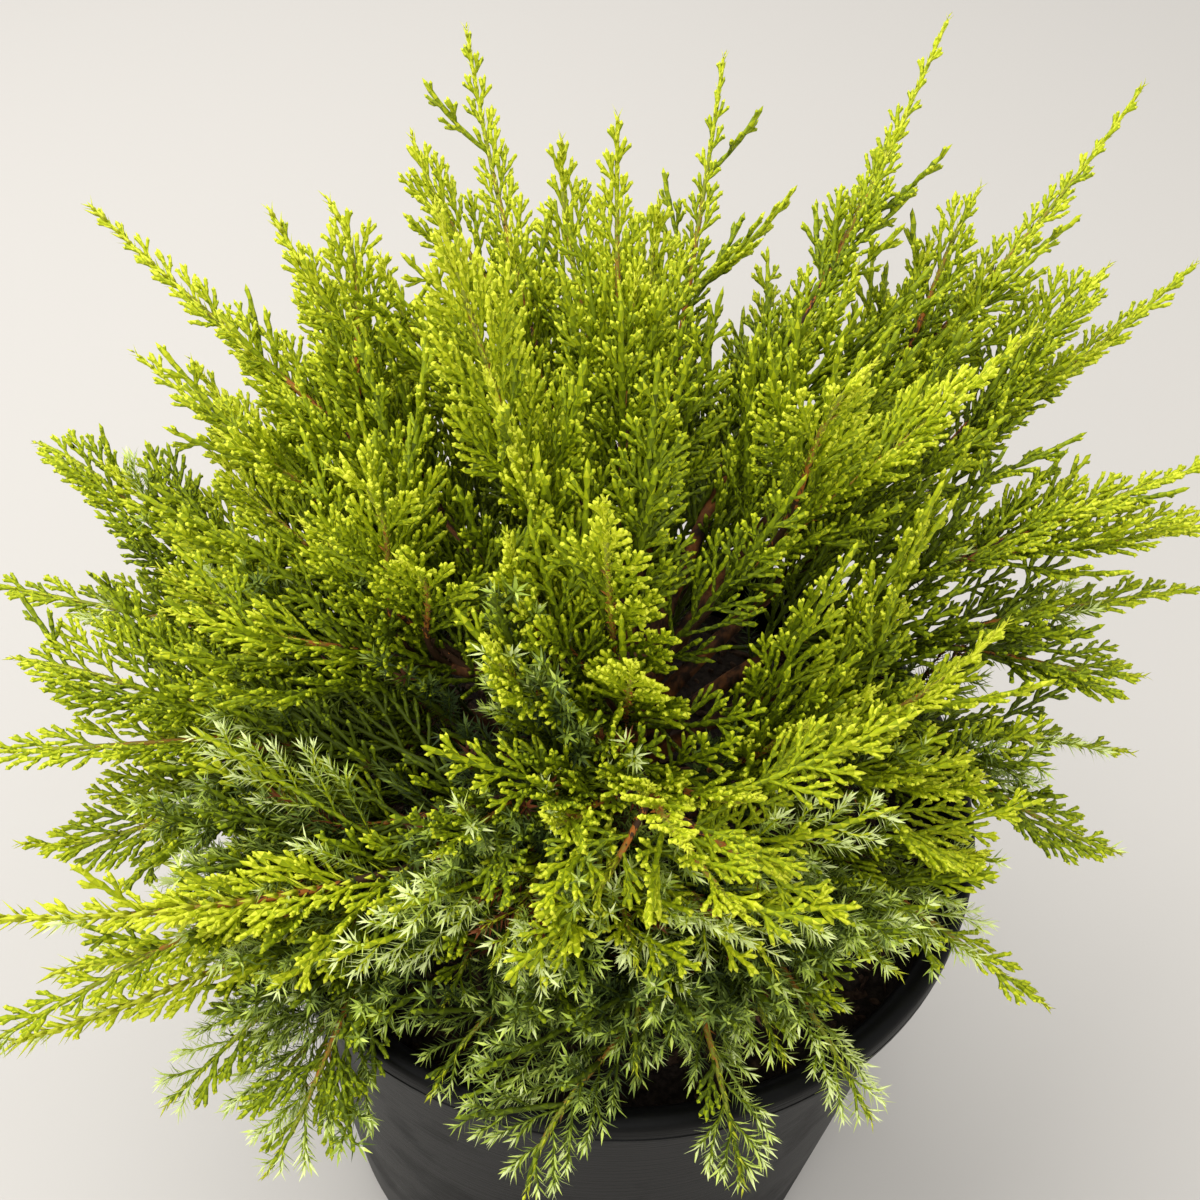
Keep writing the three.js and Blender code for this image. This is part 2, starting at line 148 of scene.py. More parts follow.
# The finer leaders that the looks add, and where a leader of either kind bears shoots
FINER_FROM = 0.24
FINER_LIFT = 20.0
BOUGH_FIRST_SHOOT = 0.2
LAST_SHOOT = 0.985
BUD_JITTER = (0.25, 0.75)

# The wood of leaders beyond their boughs, and the brown husks along it
FORK_RADIUS = 1.6
TWIG_TIP_RADIUS = 0.8
TWIG_END = 0.86
TWIG_RINGS = (44, 8)
TWIG_BARK = (0.9, 0.2)
TWIG_SEED = 9
WOOD_SPECKLE = 0.12
HUSK_SPACING = 4.2
HUSK_LENGTH = 4.6
HUSK_WIDTH = 0.36
HUSK_LEAN = 34.0
HUSK_END = 0.8
HUSK_TONES = (0.15, 0.6)

# The crown's dense surface, from the outer leaders' tips, and its hollows by place, radius and depth
OUTER_REACH = 150.0
CANOPY_BLUR = 16.0
CANOPY_REACH = 0.87
CANOPY_RISE = 0.84
CANOPY_CURVE = 1.6
CANOPY_END = 1.2
CROWN_RISE = 205.0
HOLLOWS = [(-95, -62, 36, 95), (25, -35, 26, 90), (42, 120, 30, 80)]

# The room that growth leaves inside the frame's box, over the mix and about the pot's wall
REACH_SPARE = 6.0
MIX_SPARE = 3.0
WALL_INSET = 6.0
WALL_SPARE = 9.0
LEVEL_SPARE = 2.0

# The smaller plumes that fill the crown up to its surface
PLUME_SPACING = 13.5
PLUME_SPAN = (0.12, 0.86)
PLUME_ROLLS = (-20, 88)
PLUME_ANGLES = (28, 52)
PLUME_FILL = (0.82, 1.0)
PLUME_TAPER = 0.4
PLUME_FOLLOW = 0.14
PLUME_RISE = 0.2
FACE_RISE = 0.9
FACE_SCATTER = 0.3
LONGEST_PLUME = 118.0
SHORTEST_PLUME = 26.0
LEAST_RISE = 30.0
PROBE_STEP = 4.0

# Side shoots of leaders and of plumes
FORK = 38.0
LEADER_TIP_FORK = 24.0
PLUME_TIP_FORK = 28.0
SHOOT_WANDER = 4
TWIG_WANDER = 5
VIGOUR = (0.75, 1.15)
SLIMMING = 0.6
SLIMMING_CURVE = 2.5
UPTURN = 0.6
HANGING_LIFT = -30
RISING_OVER = 40
TIP_LEAD = 0.85
LEADER_CURL = 0.2
PLUME_SHOOT_CURL = 0.18
PLUME_SHOOT_SPAN = (0.2, 0.95)
PLUME_SHOOT_LEAST = 5
PLUME_SHOOT_SHARE = 0.38
PLUME_SHOOT_FOOT = 0.5
PLUME_SHOOT_GROWTH = 2
PLUME_SHOOT_ROLL = 13
PLUME_SHOOT_VIGOUR = (0.85, 1.1)
PLUME_SHOOT_GAP = 1.05

# Twigs and nubs, each by its least length, its share of the length left and its greatest length
TWIG_SHAPE = (4.5, 0.42, 17.0)
NUB_SHAPE = (2.0, 0.12, 4.0)
TWIG_ROLL = 16
NUB_ROLL = 26
NUB_SPACING = 3.2
NUB_BEARER = 6
TWIG_SPAN = (0.1, 0.96)
TWIG_VIGOUR = (0.78, 1.12)
TWIG_CURL = 0.22
SHORTEST_TWIG = 3.0
SHORTEST_SHARE = 0.6
THIN_FROM = 55.0
THIN_OVER = 70.0
MOST_THINNED = 0.55

# Young growth, which bears needles low in the crown
YOUNG_BELOW = 84.0
YOUNG_FADE = 50.0
YOUNG_SPACING = 2.6
YOUNG_SPLAY = 18.0
YOUNG_ROLL = 44.0
YOUNG_SPREAD = 0.25
YOUNG_PLUME_SHARE = 0.5
DEAD_BELOW = 50.0
DEAD_SHARE = 0.12

# Cords: how they swell, and by kind their scales' length, their radius and their tips' gain in tone
CORD_PROFILE = ([0, 0.15, 0.8, 1], [0.8, 0.9, 1.08, 0.82])
CORD_THICKNESS = (0.72, 0.03)
RING_VARIATION = (0.82, 1.18)
RING_COUNTS = (3, 60)
TIP_RING = 0.72
CORD_KINDS = {"plume": (1.4, 1.25, 0.36), "shoot": (1.15, 1.05, 0.38), "twig": (1.0, 1.0, 0.4),
              "nub": (1.0, 0.95, 0.36), "young": (2.2, 0.55, -0.1)}
LEADER_SCALE = 1.3
LEADER_CORD_START = (0.5, 0.6)
LEADER_TIP = 0.97
LEADER_RADII = (1.3, 1.0, 0.75)

# Needles, and the leaves that stand along a leader
NEEDLE_WIDTH = 0.23
NEEDLE_LEAN = 57.0
NEEDLE_TIP_LEAN = 24
NEEDLE_WANDER = 6
NEEDLE_SIZES = (0.72, 1.12)
NEEDLE_TIP_SIZE = 0.78
NEEDLE_MIDDLE = 0.36
NEEDLE_KEEL = 0.4
FIRST_NEEDLE = 0.06
WHORL_WANDER = 0.15
LEAF_START = 0.42
LEAF_LENGTH = 5.5
LEAF_WIDTH = 0.3
LEAF_LEAN = 20.0
LEAF_SPACING = 3.4
LEAF_STEP = 12.0

# Tones: what each kind of growth gains outward or along it, how it varies, and its painted shade by depth;
# the gain outward is partly inner foliage's darker colour and partly painted shade
BASE_TONE = 0.3
OUTER_GAIN = 0.12
OUTER_AT = 200
LEADER_GAIN = 0.36
PLUME_SHOOT_GAIN = 0.16
TWIG_GAIN = 0.14
SHOOT_SPECKLE = 0.05
TWIG_SPECKLE = 0.03
SCALE_SPECKLE = 0.055
SCALE_CONTRAST = 0.12
CORD_TONE = -0.03
LEADER_CORD_TONE = 0.42
YOUNG_LEADER_SHADE = 0.7
LEAF_TONE = 0.5
LEAF_GAIN = 0.3
NEEDLE_TONE = 0.22
NEEDLE_GAIN = 0.5
NEEDLE_SPECKLE = 0.07
NEEDLE_FACE_TONES = (0.14, 0.0, -0.2, -0.24)
DEPTH_SHADE = 0.0027
NEEDLE_DEPTH_SHADE = 2 * DEPTH_SHADE

# The lights by place, size and share of the power, and the camera, found from the rim's ellipse
LIGHTS = {"softbox": ((-0.7, 0.5, 1.9), 1.6, 1.0), "fill": ((-0.4, -1.5, 1.3), 1.2, 0.36)}
LIT_PLACE = (0, 0, 0.25)
CAMERA_PLACE = (-5.0, -352.0, 702.0)
CAMERA_PITCH = 46.0
CAMERA_YAW = -0.7
CAMERA_ROLL = 4.1
CAMERA_LENS = 45.0
FLOOR_SIZE = 6


def mass(name, tips, root_lift, tip_lift, spread, needles=0.12, tone=0.0, **others):
    """One mass of foliage, as in the frame: its leaders' tips by azimuth, reach and rise above the
    rim, how steeply its bough leaves and its leaders end, how far its shoots stand out, how far its
    root and tips turn aside, and whether it has a bough of its own. The looks add the share of its
    shoots that bear needles, its tone, its finer leaders, how closely small plumes fill it and how
    leafy its leaders are. The tone is partly the mass's own colour and partly painted shade,
    lowered for masses that lie in shade, such as those low on the right and the inner front."""
    usual = {"root_turn": 0, "tip_turn": 0, "bough": True, "fill": 1.0, "finer": [], "leafy": 1.0}
    return {"name": name, "tips": tips, "root_lift": root_lift, "tip_lift": tip_lift,
            "spread": spread, "needles": needles, "tone": tone, **usual, **others}


# The masses in the frame's order, gathered into the groups that are joined into one piece each
GROUPS = {
    "back": [
        mass("back_left", [(148, 250, 150), (137, 158, 176)], 54, 24, 44, tone=0.06, leafy=1.4,
             finer=[(140, 182, 164), (143, 158, 140), (149, 172, 124)]),
        mass("back_leader", [(112, 206, 203), (124, 160, 190)], 62, 56, 46, tone=0.04,
             finer=[(137, 130, 168), (116, 118, 172)]),
        mass("back_centre", [(98, 118, 212)], 68, 70, 50, tone=0.04,
             finer=[(105, 140, 192), (90, 122, 178), (94, 84, 172)]),
        mass("back_right", [(84, 198, 197)], 60, 56, 36, tone=-0.05),
    ],
    "right_upper": [
        mass("right_inner", [(64, 240, 210), (63, 200, 190)], 54, 46, 34, tone=0.03,
             finer=[(60, 118, 146), (58, 140, 160)]),
        mass("right_leader", [(49, 284, 190), (53, 200, 172)], 50, 42, 40, tone=0.03,
             finer=[(54, 178, 158), (48, 188, 150)]),
        mass("right_shoulder", [(37, 262, 148), (40, 224, 152)], 46, 32, 52, tone=-0.02),
    ],
    # The masses low on the right take lower tones: painted shade
    "right": [
        mass("right_high", [(22, 250, 112), (18, 232, 94)], 44, 12, 52, 0.1, 0.04),
        mass("right_middle", [(14, 222, 74), (7, 194, 56)], 42, 0, 50, 0.1, -0.1),
        mass("right_low", [(1, 190, 36), (-7, 190, 10)], 40, -10, 44, 0.12, -0.16),
        mass("front_right_upper", [(-2, 126, 108)], 40, 44, 48, 0.0, 0.14, root_turn=-44, tip_turn=40,
             finer=[(-40, 76, 100), (-20, 88, 98), (-15, 130, 62), (-22, 138, 44)]),
        mass("front_right_low", [(-29, 177, 4)], 42, -14, 40, 0.5, -0.04, fill=1.2,
             finer=[(-42, 134, 24), (-34, 130, 22)]),
    ],
    "front": [
        mass("front_right_skirt", [(-55, 160, 2)], 44, -26, 36, 0.8, -0.2, fill=1.2,
             finer=[(-62, 134, 12), (-72, 130, 14)]),
        mass("front_skirt", [(-72, 163, 0), (-96, 164, 0)], 44, -36, 30, 0.95, -0.36, fill=1.2,
             finer=[(-110, 146, 8), (-84, 132, 24)]),
        mass("left_skirt", [(-134, 196, -8), (-122, 188, -10)], 42, -24, 46, 0.6, -0.2, fill=1.5,
             finer=[(-113, 124, 24), (-140, 160, 14), (-129, 178, -14)]),
        mass("left_low", [(-143, 236, 24)], 42, -6, 46, 0.3, -0.02, fill=1.5),
    ],
    "left": [
        mass("left_leader", [(-150, 228, 54)], 42, 0, 34, 0.1, 0.2, root_turn=44, tip_turn=-30, leafy=2.0,
             finer=[(-147, 207, 22), (-144, 226, 12)]),
        mass("left_fan", [(-167, 232, 52), (-176, 214, 60)], 44, 8, 54, 0.05, -0.06, fill=1.25,
             finer=[(178, 181, 22), (-162, 130, 42), (-162, 213, 22), (-166, 183, 22)]),
        mass("left_far", [(170, 262, 34), (160, 250, 72)], 42, 0, 56, 0.1, -0.12),
    ],
    "left_upper": [
        mass("left_high", [(155, 208, 118), (172, 140, 142)], 56, 30, 54, 0.05, 0.05,
             finer=[(149, 203, 104), (161, 214, 78)]),
        mass("left_inner", [(-170, 152, 104), (-166, 94, 168)], 56, 30, 52, 0.05, 0.06,
             finer=[(176, 165, 84), (164, 156, 112), (-178, 108, 128), (-150, 80, 150)]),
        mass("crown_left", [(-150, 52, 212), (170, 64, 238)], 74, 74, 58, 0.0, 0.1, bough=False),
    ],
    "crown": [
        mass("crown_centre", [(-99, 60, 198)], 66, 72, 56, 0.0, 0.1, bough=False),
        mass("crown_right", [(20, 128, 190), (10, 68, 196)], 64, 50, 56, 0.0, 0.08, bough=False),
        mass("crown_front", [(-88, 72, 148)], 56, 62, 52, 0.05, 0.12, bough=False,
             finer=[(-124, 72, 140), (-136, 52, 160)]),
    ],
    "centre": [
        mass("front_near", [(-82, 136, 150), (-72, 132, 104)], 50, 48, 34, 0.1, 0.14, fill=0.7,
             finer=[(-83, 86, 110), (-101, 98, 104), (-63, 93, 106), (-104, 80, 80), (-72, 82, 92),
                    (-92, 98, 70), (-56, 98, 70)]),
        mass("front_low", [(-106, 118, 50), (-62, 118, 44)], 52, 0, 42, 0.75, 0.24, bough=False, fill=1.5,
             finer=[(-84, 112, 52)]),
        # The inner front's lower tone is painted shade
        mass("front_inner", [(-118, 112, 84), (-148, 132, 44)], 48, 26, 46, 0.3, -0.16, fill=1.5,
             finer=[(-102, 95, 105), (-110, 96, 40)]),
    ],
    "back_skirts": [
        mass("back_skirt_left", [(132, 214, 56)], 44, 0, 54, 0.15, -0.05,
             finer=[(146, 130, 34)]),
        mass("back_skirt", [(102, 220, 50)], 44, 0, 54, 0.15, -0.05,
             finer=[(116, 128, 44), (88, 122, 34)]),
        mass("back_skirt_right", [(74, 222, 54)], 44, 0, 52, 0.15, -0.05,
             finer=[(60, 170, 62), (42, 168, 66)]),
    ],
}
MASSES = [member for group in GROUPS.values() for member in group]


def linear(red, green, blue):
    """A screen colour from 0 to 255 as the linear colour that a shader takes."""
    shares = [value / 255 for value in (red, green, blue)]
    return tuple(s / 12.92 if s <= 0.04045 else ((s + 0.055) / 1.055) ** 2.4 for s in shares)


def palette(kind, **colours):
    """Plain base colours of one kind of growth by name, from dark to light."""
    return {kind + "_" + name: linear(*colour) for name, colour in colours.items()}


# From the shaded inside of a plume to its yellow tips
SCALE_GREENS = palette("scale", shade=(70, 83, 8), deep=(98, 114, 10), olive=(124, 140, 12),
                       green=(148, 164, 14), lime=(172, 183, 16), yellow=(198, 205, 34),
                       tip=(220, 225, 60))
NEEDLE_GREENS = palette("needle", deep=(46, 60, 25), olive=(84, 101, 40), green=(122, 140, 62),
                        pale=(164, 184, 72), light=(206, 221, 108), frost=(232, 242, 168))
DEAD_BROWNS = palette("dead", dark=(74, 40, 22), rust=(120, 66, 34))
TWIG_BROWNS = palette("twig", dark=(64, 42, 24), orange=(168, 100, 36), amber=(150, 116, 42),
                      olive=(136, 142, 44))

# Each palette's first slot on its piece, and its count of slots
SCALE_SLOTS = (0, len(SCALE_GREENS))
NEEDLE_SLOTS = (0, len(NEEDLE_GREENS))
DEAD_SLOTS = (len(NEEDLE_GREENS), len(DEAD_BROWNS))
TWIG_SLOTS = (0, len(TWIG_BROWNS))
CHIP_COLOUR = linear(50, 35, 24)


def size_setting(name, description, size, least, most):
    """A length that a user may change, given in millimetres."""
    return bpy.props.FloatProperty(name=name, description=description, subtype="DISTANCE", unit="LENGTH",
                                   default=size * MM, min=least * MM, max=most * MM)


def colour_setting(name, description, *colour):
    """A colour that a user may change, given as a screen colour."""
    return bpy.props.FloatVectorProperty(name=name, description=description, subtype="COLOR",
                                         default=linear(*colour), min=0, max=1)


def number_setting(name, description, value, most):
    """A plain number that a user may change."""
    return bpy.props.FloatProperty(name=name, description=description, default=value, min=0, max=most)


class ConiferPot(bpy.types.PropertyGroup):
    """Sizes and colours of the pot and its mix."""

    plastic: colour_setting("Plastic", "Colour of the pot", 10, 10, 9)
    wall: size_setting("Wall", "Thickness of the pot's wall", 2.6, 0.5, 8)
    lip: size_setting("Lip", "Height of the turned-out lip", 14, 4, 40)
    mix: colour_setting("Mix", "Colour of the potting mix", 30, 22, 16)
    chips: number_setting("Chips", "Bark chips on each square metre of the mix", 26000, 80000)


class ConiferCrown(bpy.types.PropertyGroup):
    """Sizes of the twigs and leaves."""

    cord: size_setting("Cord", "Radius of a scale-leaved cord", 0.88, 0.3, 3)
    scale: size_setting("Scale leaf", "Length of a scale leaf along its cord", 2.0, 0.8, 6)
    shoot_spacing: size_setting("Shoot spacing", "Distance between side shoots on a leader", 5.6, 3, 30)
    twig_spacing: size_setting("Twig spacing", "Distance between cords on a side shoot", 3.0, 2, 20)
    needle: size_setting("Needle", "Length of a needle", 6.5, 2, 14)
    whorl: size_setting("Whorl", "Distance between whorls of needles", 1.5, 0.8, 10)


class ConiferStage(bpy.types.PropertyGroup):
    """The floor and the light."""

    floor: colour_setting("Floor", "Colour of the floor", 196, 192, 186)
    light: number_setting("Light", "Power of the large soft light in watts", 31, 500)
    sky: number_setting("Sky", "Strength of the even light from all round", 0.86, 5)


class Nodes:
    """Adds nodes to a tree, each with its settings first and then its values or links."""

    def __init__(self, tree):
        self.tree = tree

    def node(self, kind, settings, inputs):
        node = self.tree.nodes.new(kind)
        for key, value in settings.items():
            setattr(node, key, value)
        for key, value in inputs.items():
            self.feed(node.inputs[key], value)
        return node

    def feed(self, socket, value):
        source = value.socket if isinstance(value, Signal) else value
        if isinstance(source, bpy.types.NodeSocket):
            self.tree.links.new(source, socket)
        else:
            socket.default_value = source


class Signal:
    """A shader value that Python arithmetic works on, adding its Math nodes."""

    def __init__(self, nodes, socket):
        self.nodes = nodes
        self.socket = socket

    def _math(self, operation, other):
        node = self.nodes.node("ShaderNodeMath", {"operation": operation}, {0: self, 1: other})
        return Signal(self.nodes, node.outputs[0])

    def __add__(self, other):
        return self._math("ADD", other)

    def __mul__(self, other):
        return self._math("MULTIPLY", other)

    __radd__ = __add__
    __rmul__ = __mul__


class Finish(Nodes):
    """A procedural material on Object coordinates, built through a few plain calls."""

    def __init__(self, name):
        self.material = bpy.data.materials.new(name)
        self.material.use_nodes = True
        super().__init__(self.material.node_tree)
        self.shader = self.tree.nodes["Principled BSDF"]

    def noise(self, scale, detail, stretch=(1, 1, 1)):
        """Noise of so many features to a metre, from 0 to 1."""
        place = self.node("ShaderNodeTexCoord", {}, {}).outputs["Object"]
        mapping = self.node("ShaderNodeMapping", {}, {"Vector": place, "Scale": stretch})
        node = self.node("ShaderNodeTexNoise", {}, {
            "Vector": mapping.outputs[0], "Scale": scale, "Detail": detail, "Roughness": 0.6})
        return Signal(self, node.outputs[0])

    def level(self, value, low, high, start=0.0, end=1.0):
        """A value brought from one range to another, and held to it."""
        node = self.node("ShaderNodeMapRange", {"clamp": True}, {
            "Value": value, "From Min": low, "From Max": high, "To Min": start, "To Max": end})
        return Signal(self, node.outputs[0])

    def blend(self, factor, first, second):
        """One colour passing into another."""
        first, second = ((*colour, 1.0) if isinstance(colour, tuple) else colour
                         for colour in (first, second))
        node = self.node("ShaderNodeMix", {"data_type": "RGBA"}, {0: factor, 6: first, 7: second})
        return node.outputs[2]

    def bump(self, height, depth):
        node = self.node("ShaderNodeBump", {}, {"Height": height, "Distance": depth})
        self.feed(self.shader.inputs["Normal"], node.outputs[0])

    def set(self, values):
        for key, value in values.items():
            self.feed(self.shader.inputs[key], value)


def plain_finish(name, colour, roughness, gloss):
    """A plain base colour, which the leaves take because it is dealt out by spray."""
    finish = Finish(name)
    finish.set({"Base Color": (*colour, 1.0), "Roughness": roughness, "Specular IOR Level": gloss})
    return finish.material


def plain_finishes(colours, roughness, gloss):
    return [plain_finish(name, colour, roughness, gloss) for name, colour in colours.items()]


def plastic_finish(colour):
    """Black moulded plastic: a soft sheen, faint dust and fine scratches."""
    finish = Finish("pot_plastic")
    dust = finish.level(finish.noise(14, 8), 0.48, 0.72)
    grime = finish.level(finish.noise(160, 4), 0.45, 0.7)
    dusty = tuple(0.5 * value + 0.009 for value in colour)
    body = finish.blend(dust * 0.3 + grime * 0.1, tuple(colour), dusty)
    scratch = finish.noise(30, 3, (1, 1, 26))
    finish.set({"Base Color": body, "Specular IOR Level": 0.1,
                "Roughness": finish.level(dust + scratch * 0.4, 0.1, 1.2, 0.4, 0.66)})
    finish.bump(finish.noise(900, 3) * 0.25 + scratch * 0.75, 0.00025)
    return finish.material


def mix_finish(name, colour, lighter):
    """Crumbly potting mix, or one of its chips."""
    finish = Finish(name)
    crumb = finish.noise(420, 8)
    pale = tuple(value * lighter + 0.01 for value in colour)
    finish.set({"Base Color": finish.blend(finish.level(crumb, 0.4, 0.66), tuple(colour), pale),
                "Roughness": 0.92, "Specular IOR Level": 0.2})
    finish.bump(crumb, 0.0012)
    return finish.material


def bark_finish():
    """Thin flaking bark: red-brown strips over a darker ground, orange where it is young."""
    finish = Finish("bark_relief")
    strips = finish.noise(260, 6, (1, 1, 0.22))
    patches = finish.noise(60, 4)
    ground = finish.blend(finish.level(strips, 0.42, 0.6), linear(40, 26, 17), linear(104, 66, 38))
    worn = finish.blend(finish.level(patches, 0.5, 0.68, 0, 0.7), ground, linear(158, 94, 36))
    finish.set({"Base Color": worn, "Roughness": 0.86, "Specular IOR Level": 0.25})
    finish.bump(strips, 0.0007)
    return finish.material


def add_object(name, data):
    """An object at the origin, in the scene."""
    added = bpy.data.objects.new(name, data)
    bpy.context.scene.collection.objects.link(added)
    return added


def dress(piece, slot, *nodes):
    """Makes a piece ride on the plant's one body, and stand for its nodes."""
    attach(piece, BODY)
    if nodes:
        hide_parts(*nodes)


def unit(vectors):
    return vectors / np.maximum(np.linalg.norm(vectors, axis=-1, keepdims=True), 1e-9)


def lerp(first, second, share):
    return first + (second - first) * share


def outward(azimuth, lift):
    azimuth, lift = math.radians(azimuth), math.radians(lift)
    level = math.cos(lift)
    return np.array([level * math.cos(azimuth), level * math.sin(azimuth), math.sin(lift)])


def tip_of(tip):
    azimuth, reach, rise = tip
    place = outward(azimuth, 0) * reach
    place[2] = POT_HEIGHT + rise
    return place


def trunk_radius_at(height):
    share = (height - SOIL_TOP) / (TRUNK_TOP - SOIL_TOP)
    flare = math.exp((SOIL_TOP - height) / FLARE_HEIGHT)
    return lerp(TRUNK_RADIUS, TRUNK_TIP_RADIUS, share) + TRUNK_FLARE * flare


def trunk_centre_at(height):
    share = (height - SOIL_TOP) / (TRUNK_TOP - SOIL_TOP)
    return np.array([TRUNK_LEAN[0] * share ** 2, TRUNK_LEAN[1] * share ** 2, height])


class Line:
    """A limb's line: a cubic curve that leaves along one direction and arrives along another."""

    def __init__(self, root, root_direction, tip, tip_direction):
        handle = HANDLE_SHARE * np.linalg.norm(tip - root)
        self.knots = np.array([root, root + handle * root_direction, tip - handle * tip_direction, tip])

    def at(self, shares):
        t = np.atleast_1d(shares)[:, None]
        a, b, c, d = self.knots
        return (1 - t) ** 3 * a + 3 * t * (1 - t) ** 2 * b + 3 * t ** 2 * (1 - t) * c + t ** 3 * d

    def along(self, shares):
        t = np.atleast_1d(shares)[:, None]
        a, b, c, d = self.knots
        return unit((1 - t) ** 2 * (b - a) + 2 * t * (1 - t) * (c - b) + t ** 2 * (d - c))

    def length(self):
        points = self.at(np.linspace(0, 1, LENGTH_POINTS))
        return np.linalg.norm(np.diff(points, axis=0), axis=1).sum()


def root_azimuth(member):
    return member["tips"][0][0] + member["root_turn"]


def root_place(member, height):
    return trunk_centre_at(height) + outward(root_azimuth(member), 0) * trunk_radius_at(height)


def root_heights():
    """The height at which each mass leaves the trunk, low masses first, none in another's way."""
    order = sorted(MASSES, key=lambda member: member["tips"][0][2] / member["tips"][0][1])
    heights = {}
    places = []
    for rank, member in enumerate(order):
        height = SOIL_TOP + lerp(LOWEST_ROOT, HIGHEST_ROOT, rank / (len(order) - 1))
        while any(np.linalg.norm(root_place(member, height) - place) < ROOT_SPACING for place in places):
            height += 1
        places.append(root_place(member, height))
        heights[member["name"]] = height
    return heights


def side_leader(main, share, heading_share, tip, direction):
    """A leader that leaves another's line, heading between the way of that line and its own tip."""
    fork = main.at(share)[0]
    heading = unit(unit(tip - fork) + main.along(heading_share)[0])
    return Line(fork, heading, tip, direction), 0.0


def limb_lines():
    """Every mass's leaders, each with the share of its line at which its stem begins."""
    heights = root_heights()
    limbs = {}
    for member in MASSES:
        height = heights[member["name"]]
        azimuth = root_azimuth(member)
        root = trunk_centre_at(height) + outward(azimuth, 0) * ROOT_DEPTH * trunk_radius_at(height)
        ends = [(tip_of(tip), outward(tip[0] + member["tip_turn"], member["tip_lift"]))
                for tip in member["tips"]]
        main = Line(root, outward(azimuth, member["root_lift"]), *ends[0])
        start = BOUGH_SHARE if member["bough"] else 0.0
        share = max(start, EARLIEST_FORK) + FORK_GAP
        lines = [(main, start), *(side_leader(main, share, share, *end) for end in ends[1:])]
        for rank, tip in enumerate(member["finer"]):
            share = FINER_FROM + FORK_GAP * rank
            direction = outward(tip[0], member["tip_lift"] + FINER_LIFT)
            lines.append(side_leader(main, share, FINER_FROM, tip_of(tip), direction))
        limbs[member["name"]] = lines
    return limbs


class Shoots:
    """Many gently curved shoots as arrays, one row each: where they start, the way they head, the
    way they bend, their length, the face of their plume, the angle at which their own side growth
    leaves them, their tone and whether they bear needles."""

    FIELDS = ("start", "heading", "bend", "length", "face", "fork", "tone", "needled")

    def __init__(self, **arrays):
        for field in self.FIELDS:
            setattr(self, field, arrays[field])

    def __len__(self):
        return len(self.length)

    def pick(self, chosen):
        return Shoots(**{field: getattr(self, field)[chosen] for field in self.FIELDS})

    def at(self, owner, share):
        reach = (self.length[owner] * share)[:, None]
        return self.start[owner] + self.heading[owner] * reach + self.bend[owner] * share[:, None] ** 2

    def all_at(self, share):
        """Where each shoot is at one share of its length."""
        return self.at(np.arange(len(self)), np.full(len(self), share))

    def along(self, owner, share):
        length = self.length[owner][:, None]
        return unit(self.heading[owner] * length + 2 * self.bend[owner] * share[:, None])

    @staticmethod
    def join(many):
        return Shoots(**{field: np.concatenate([getattr(one, field) for one in many])
                         for field in Shoots.FIELDS})


def buds(lengths, spacing, span, random):
    """Where side growth sits: each bud's owner, its rank there and its share of the owner."""
    first, last = span
    counts = np.maximum((lengths * (last - first) / spacing).astype(int), 0)
    owner = np.repeat(np.arange(len(counts)), counts)
    rank = np.arange(len(owner)) - np.repeat(np.cumsum(counts) - counts, counts)
    jitter = random.uniform(*BUD_JITTER, len(owner))
    share = first + (last - first) * (rank + jitter) / np.maximum(counts[owner], 1)
    return owner, rank, share


def branch(points, tangents, faces, hands, angles, rolls, lengths, curl):
    """Shoots that leave a limb to both sides, in the plane of its plume, and bend along it."""
    faces = unit(faces - (faces * tangents).sum(1, keepdims=True) * tangents)
    sides = np.cross(tangents, faces)
    sideways = (hands * np.cos(rolls))[:, None] * sides + np.sin(rolls)[:, None] * faces
    headings = unit(np.cos(angles)[:, None] * tangents + np.sin(angles)[:, None] * sideways)
    own_faces = unit(faces - (faces * headings).sum(1, keepdims=True) * headings)
    bends = tangents - (tangents * headings).sum(1, keepdims=True) * headings
    return {"start": points, "heading": headings, "face": own_faces, "length": lengths,
            "bend": bends * (curl * lengths)[:, None]}


def level_faces(tangents):
    """The face of a plume whose side shoots spread level, as in the frame."""
    sides = unit(np.cross(tangents, UP))
    return np.cross(sides, tangents)


def hands_of(rank):
    """To which side each bud's growth leaves: to both in turn."""
    return np.where(rank % 2 == 0, 1.0, -1.0)


def mottled(tones, speckle, random):
    """Tones that vary a little from shoot to shoot."""
    return np.clip(tones + random.normal(0, speckle, len(tones)), 0, 1)


def clear_of_pot(shoots):
    """Which shoots keep out of the mix and the pot's wall and lip, at their middle and their tip."""
    clear = np.ones(len(shoots), bool)
    for share in (0.5, 1.0):
        place = shoots.all_at(share)
        reach = np.hypot(place[:, 0], place[:, 1])
        in_mix = (reach < RIM_RADIUS - MIX_SPARE) & (place[:, 2] < SOIL_TOP + LEVEL_SPARE)
        from_wall = np.abs(reach - RIM_RADIUS + WALL_INSET)
        in_wall = (from_wall < WALL_SPARE) & (place[:, 2] < POT_HEIGHT + LEVEL_SPARE)
        clear &= ~(in_mix | in_wall)
    return clear


def within_reach(shoots):
    """Which shoots end inside the frame's box."""
    low, high = (np.array(corner) / MM for corner in cad_box)
    tips = shoots.all_at(1.0)
    return ((tips > low - REACH_SPARE) & (tips < high + REACH_SPARE)).all(1)


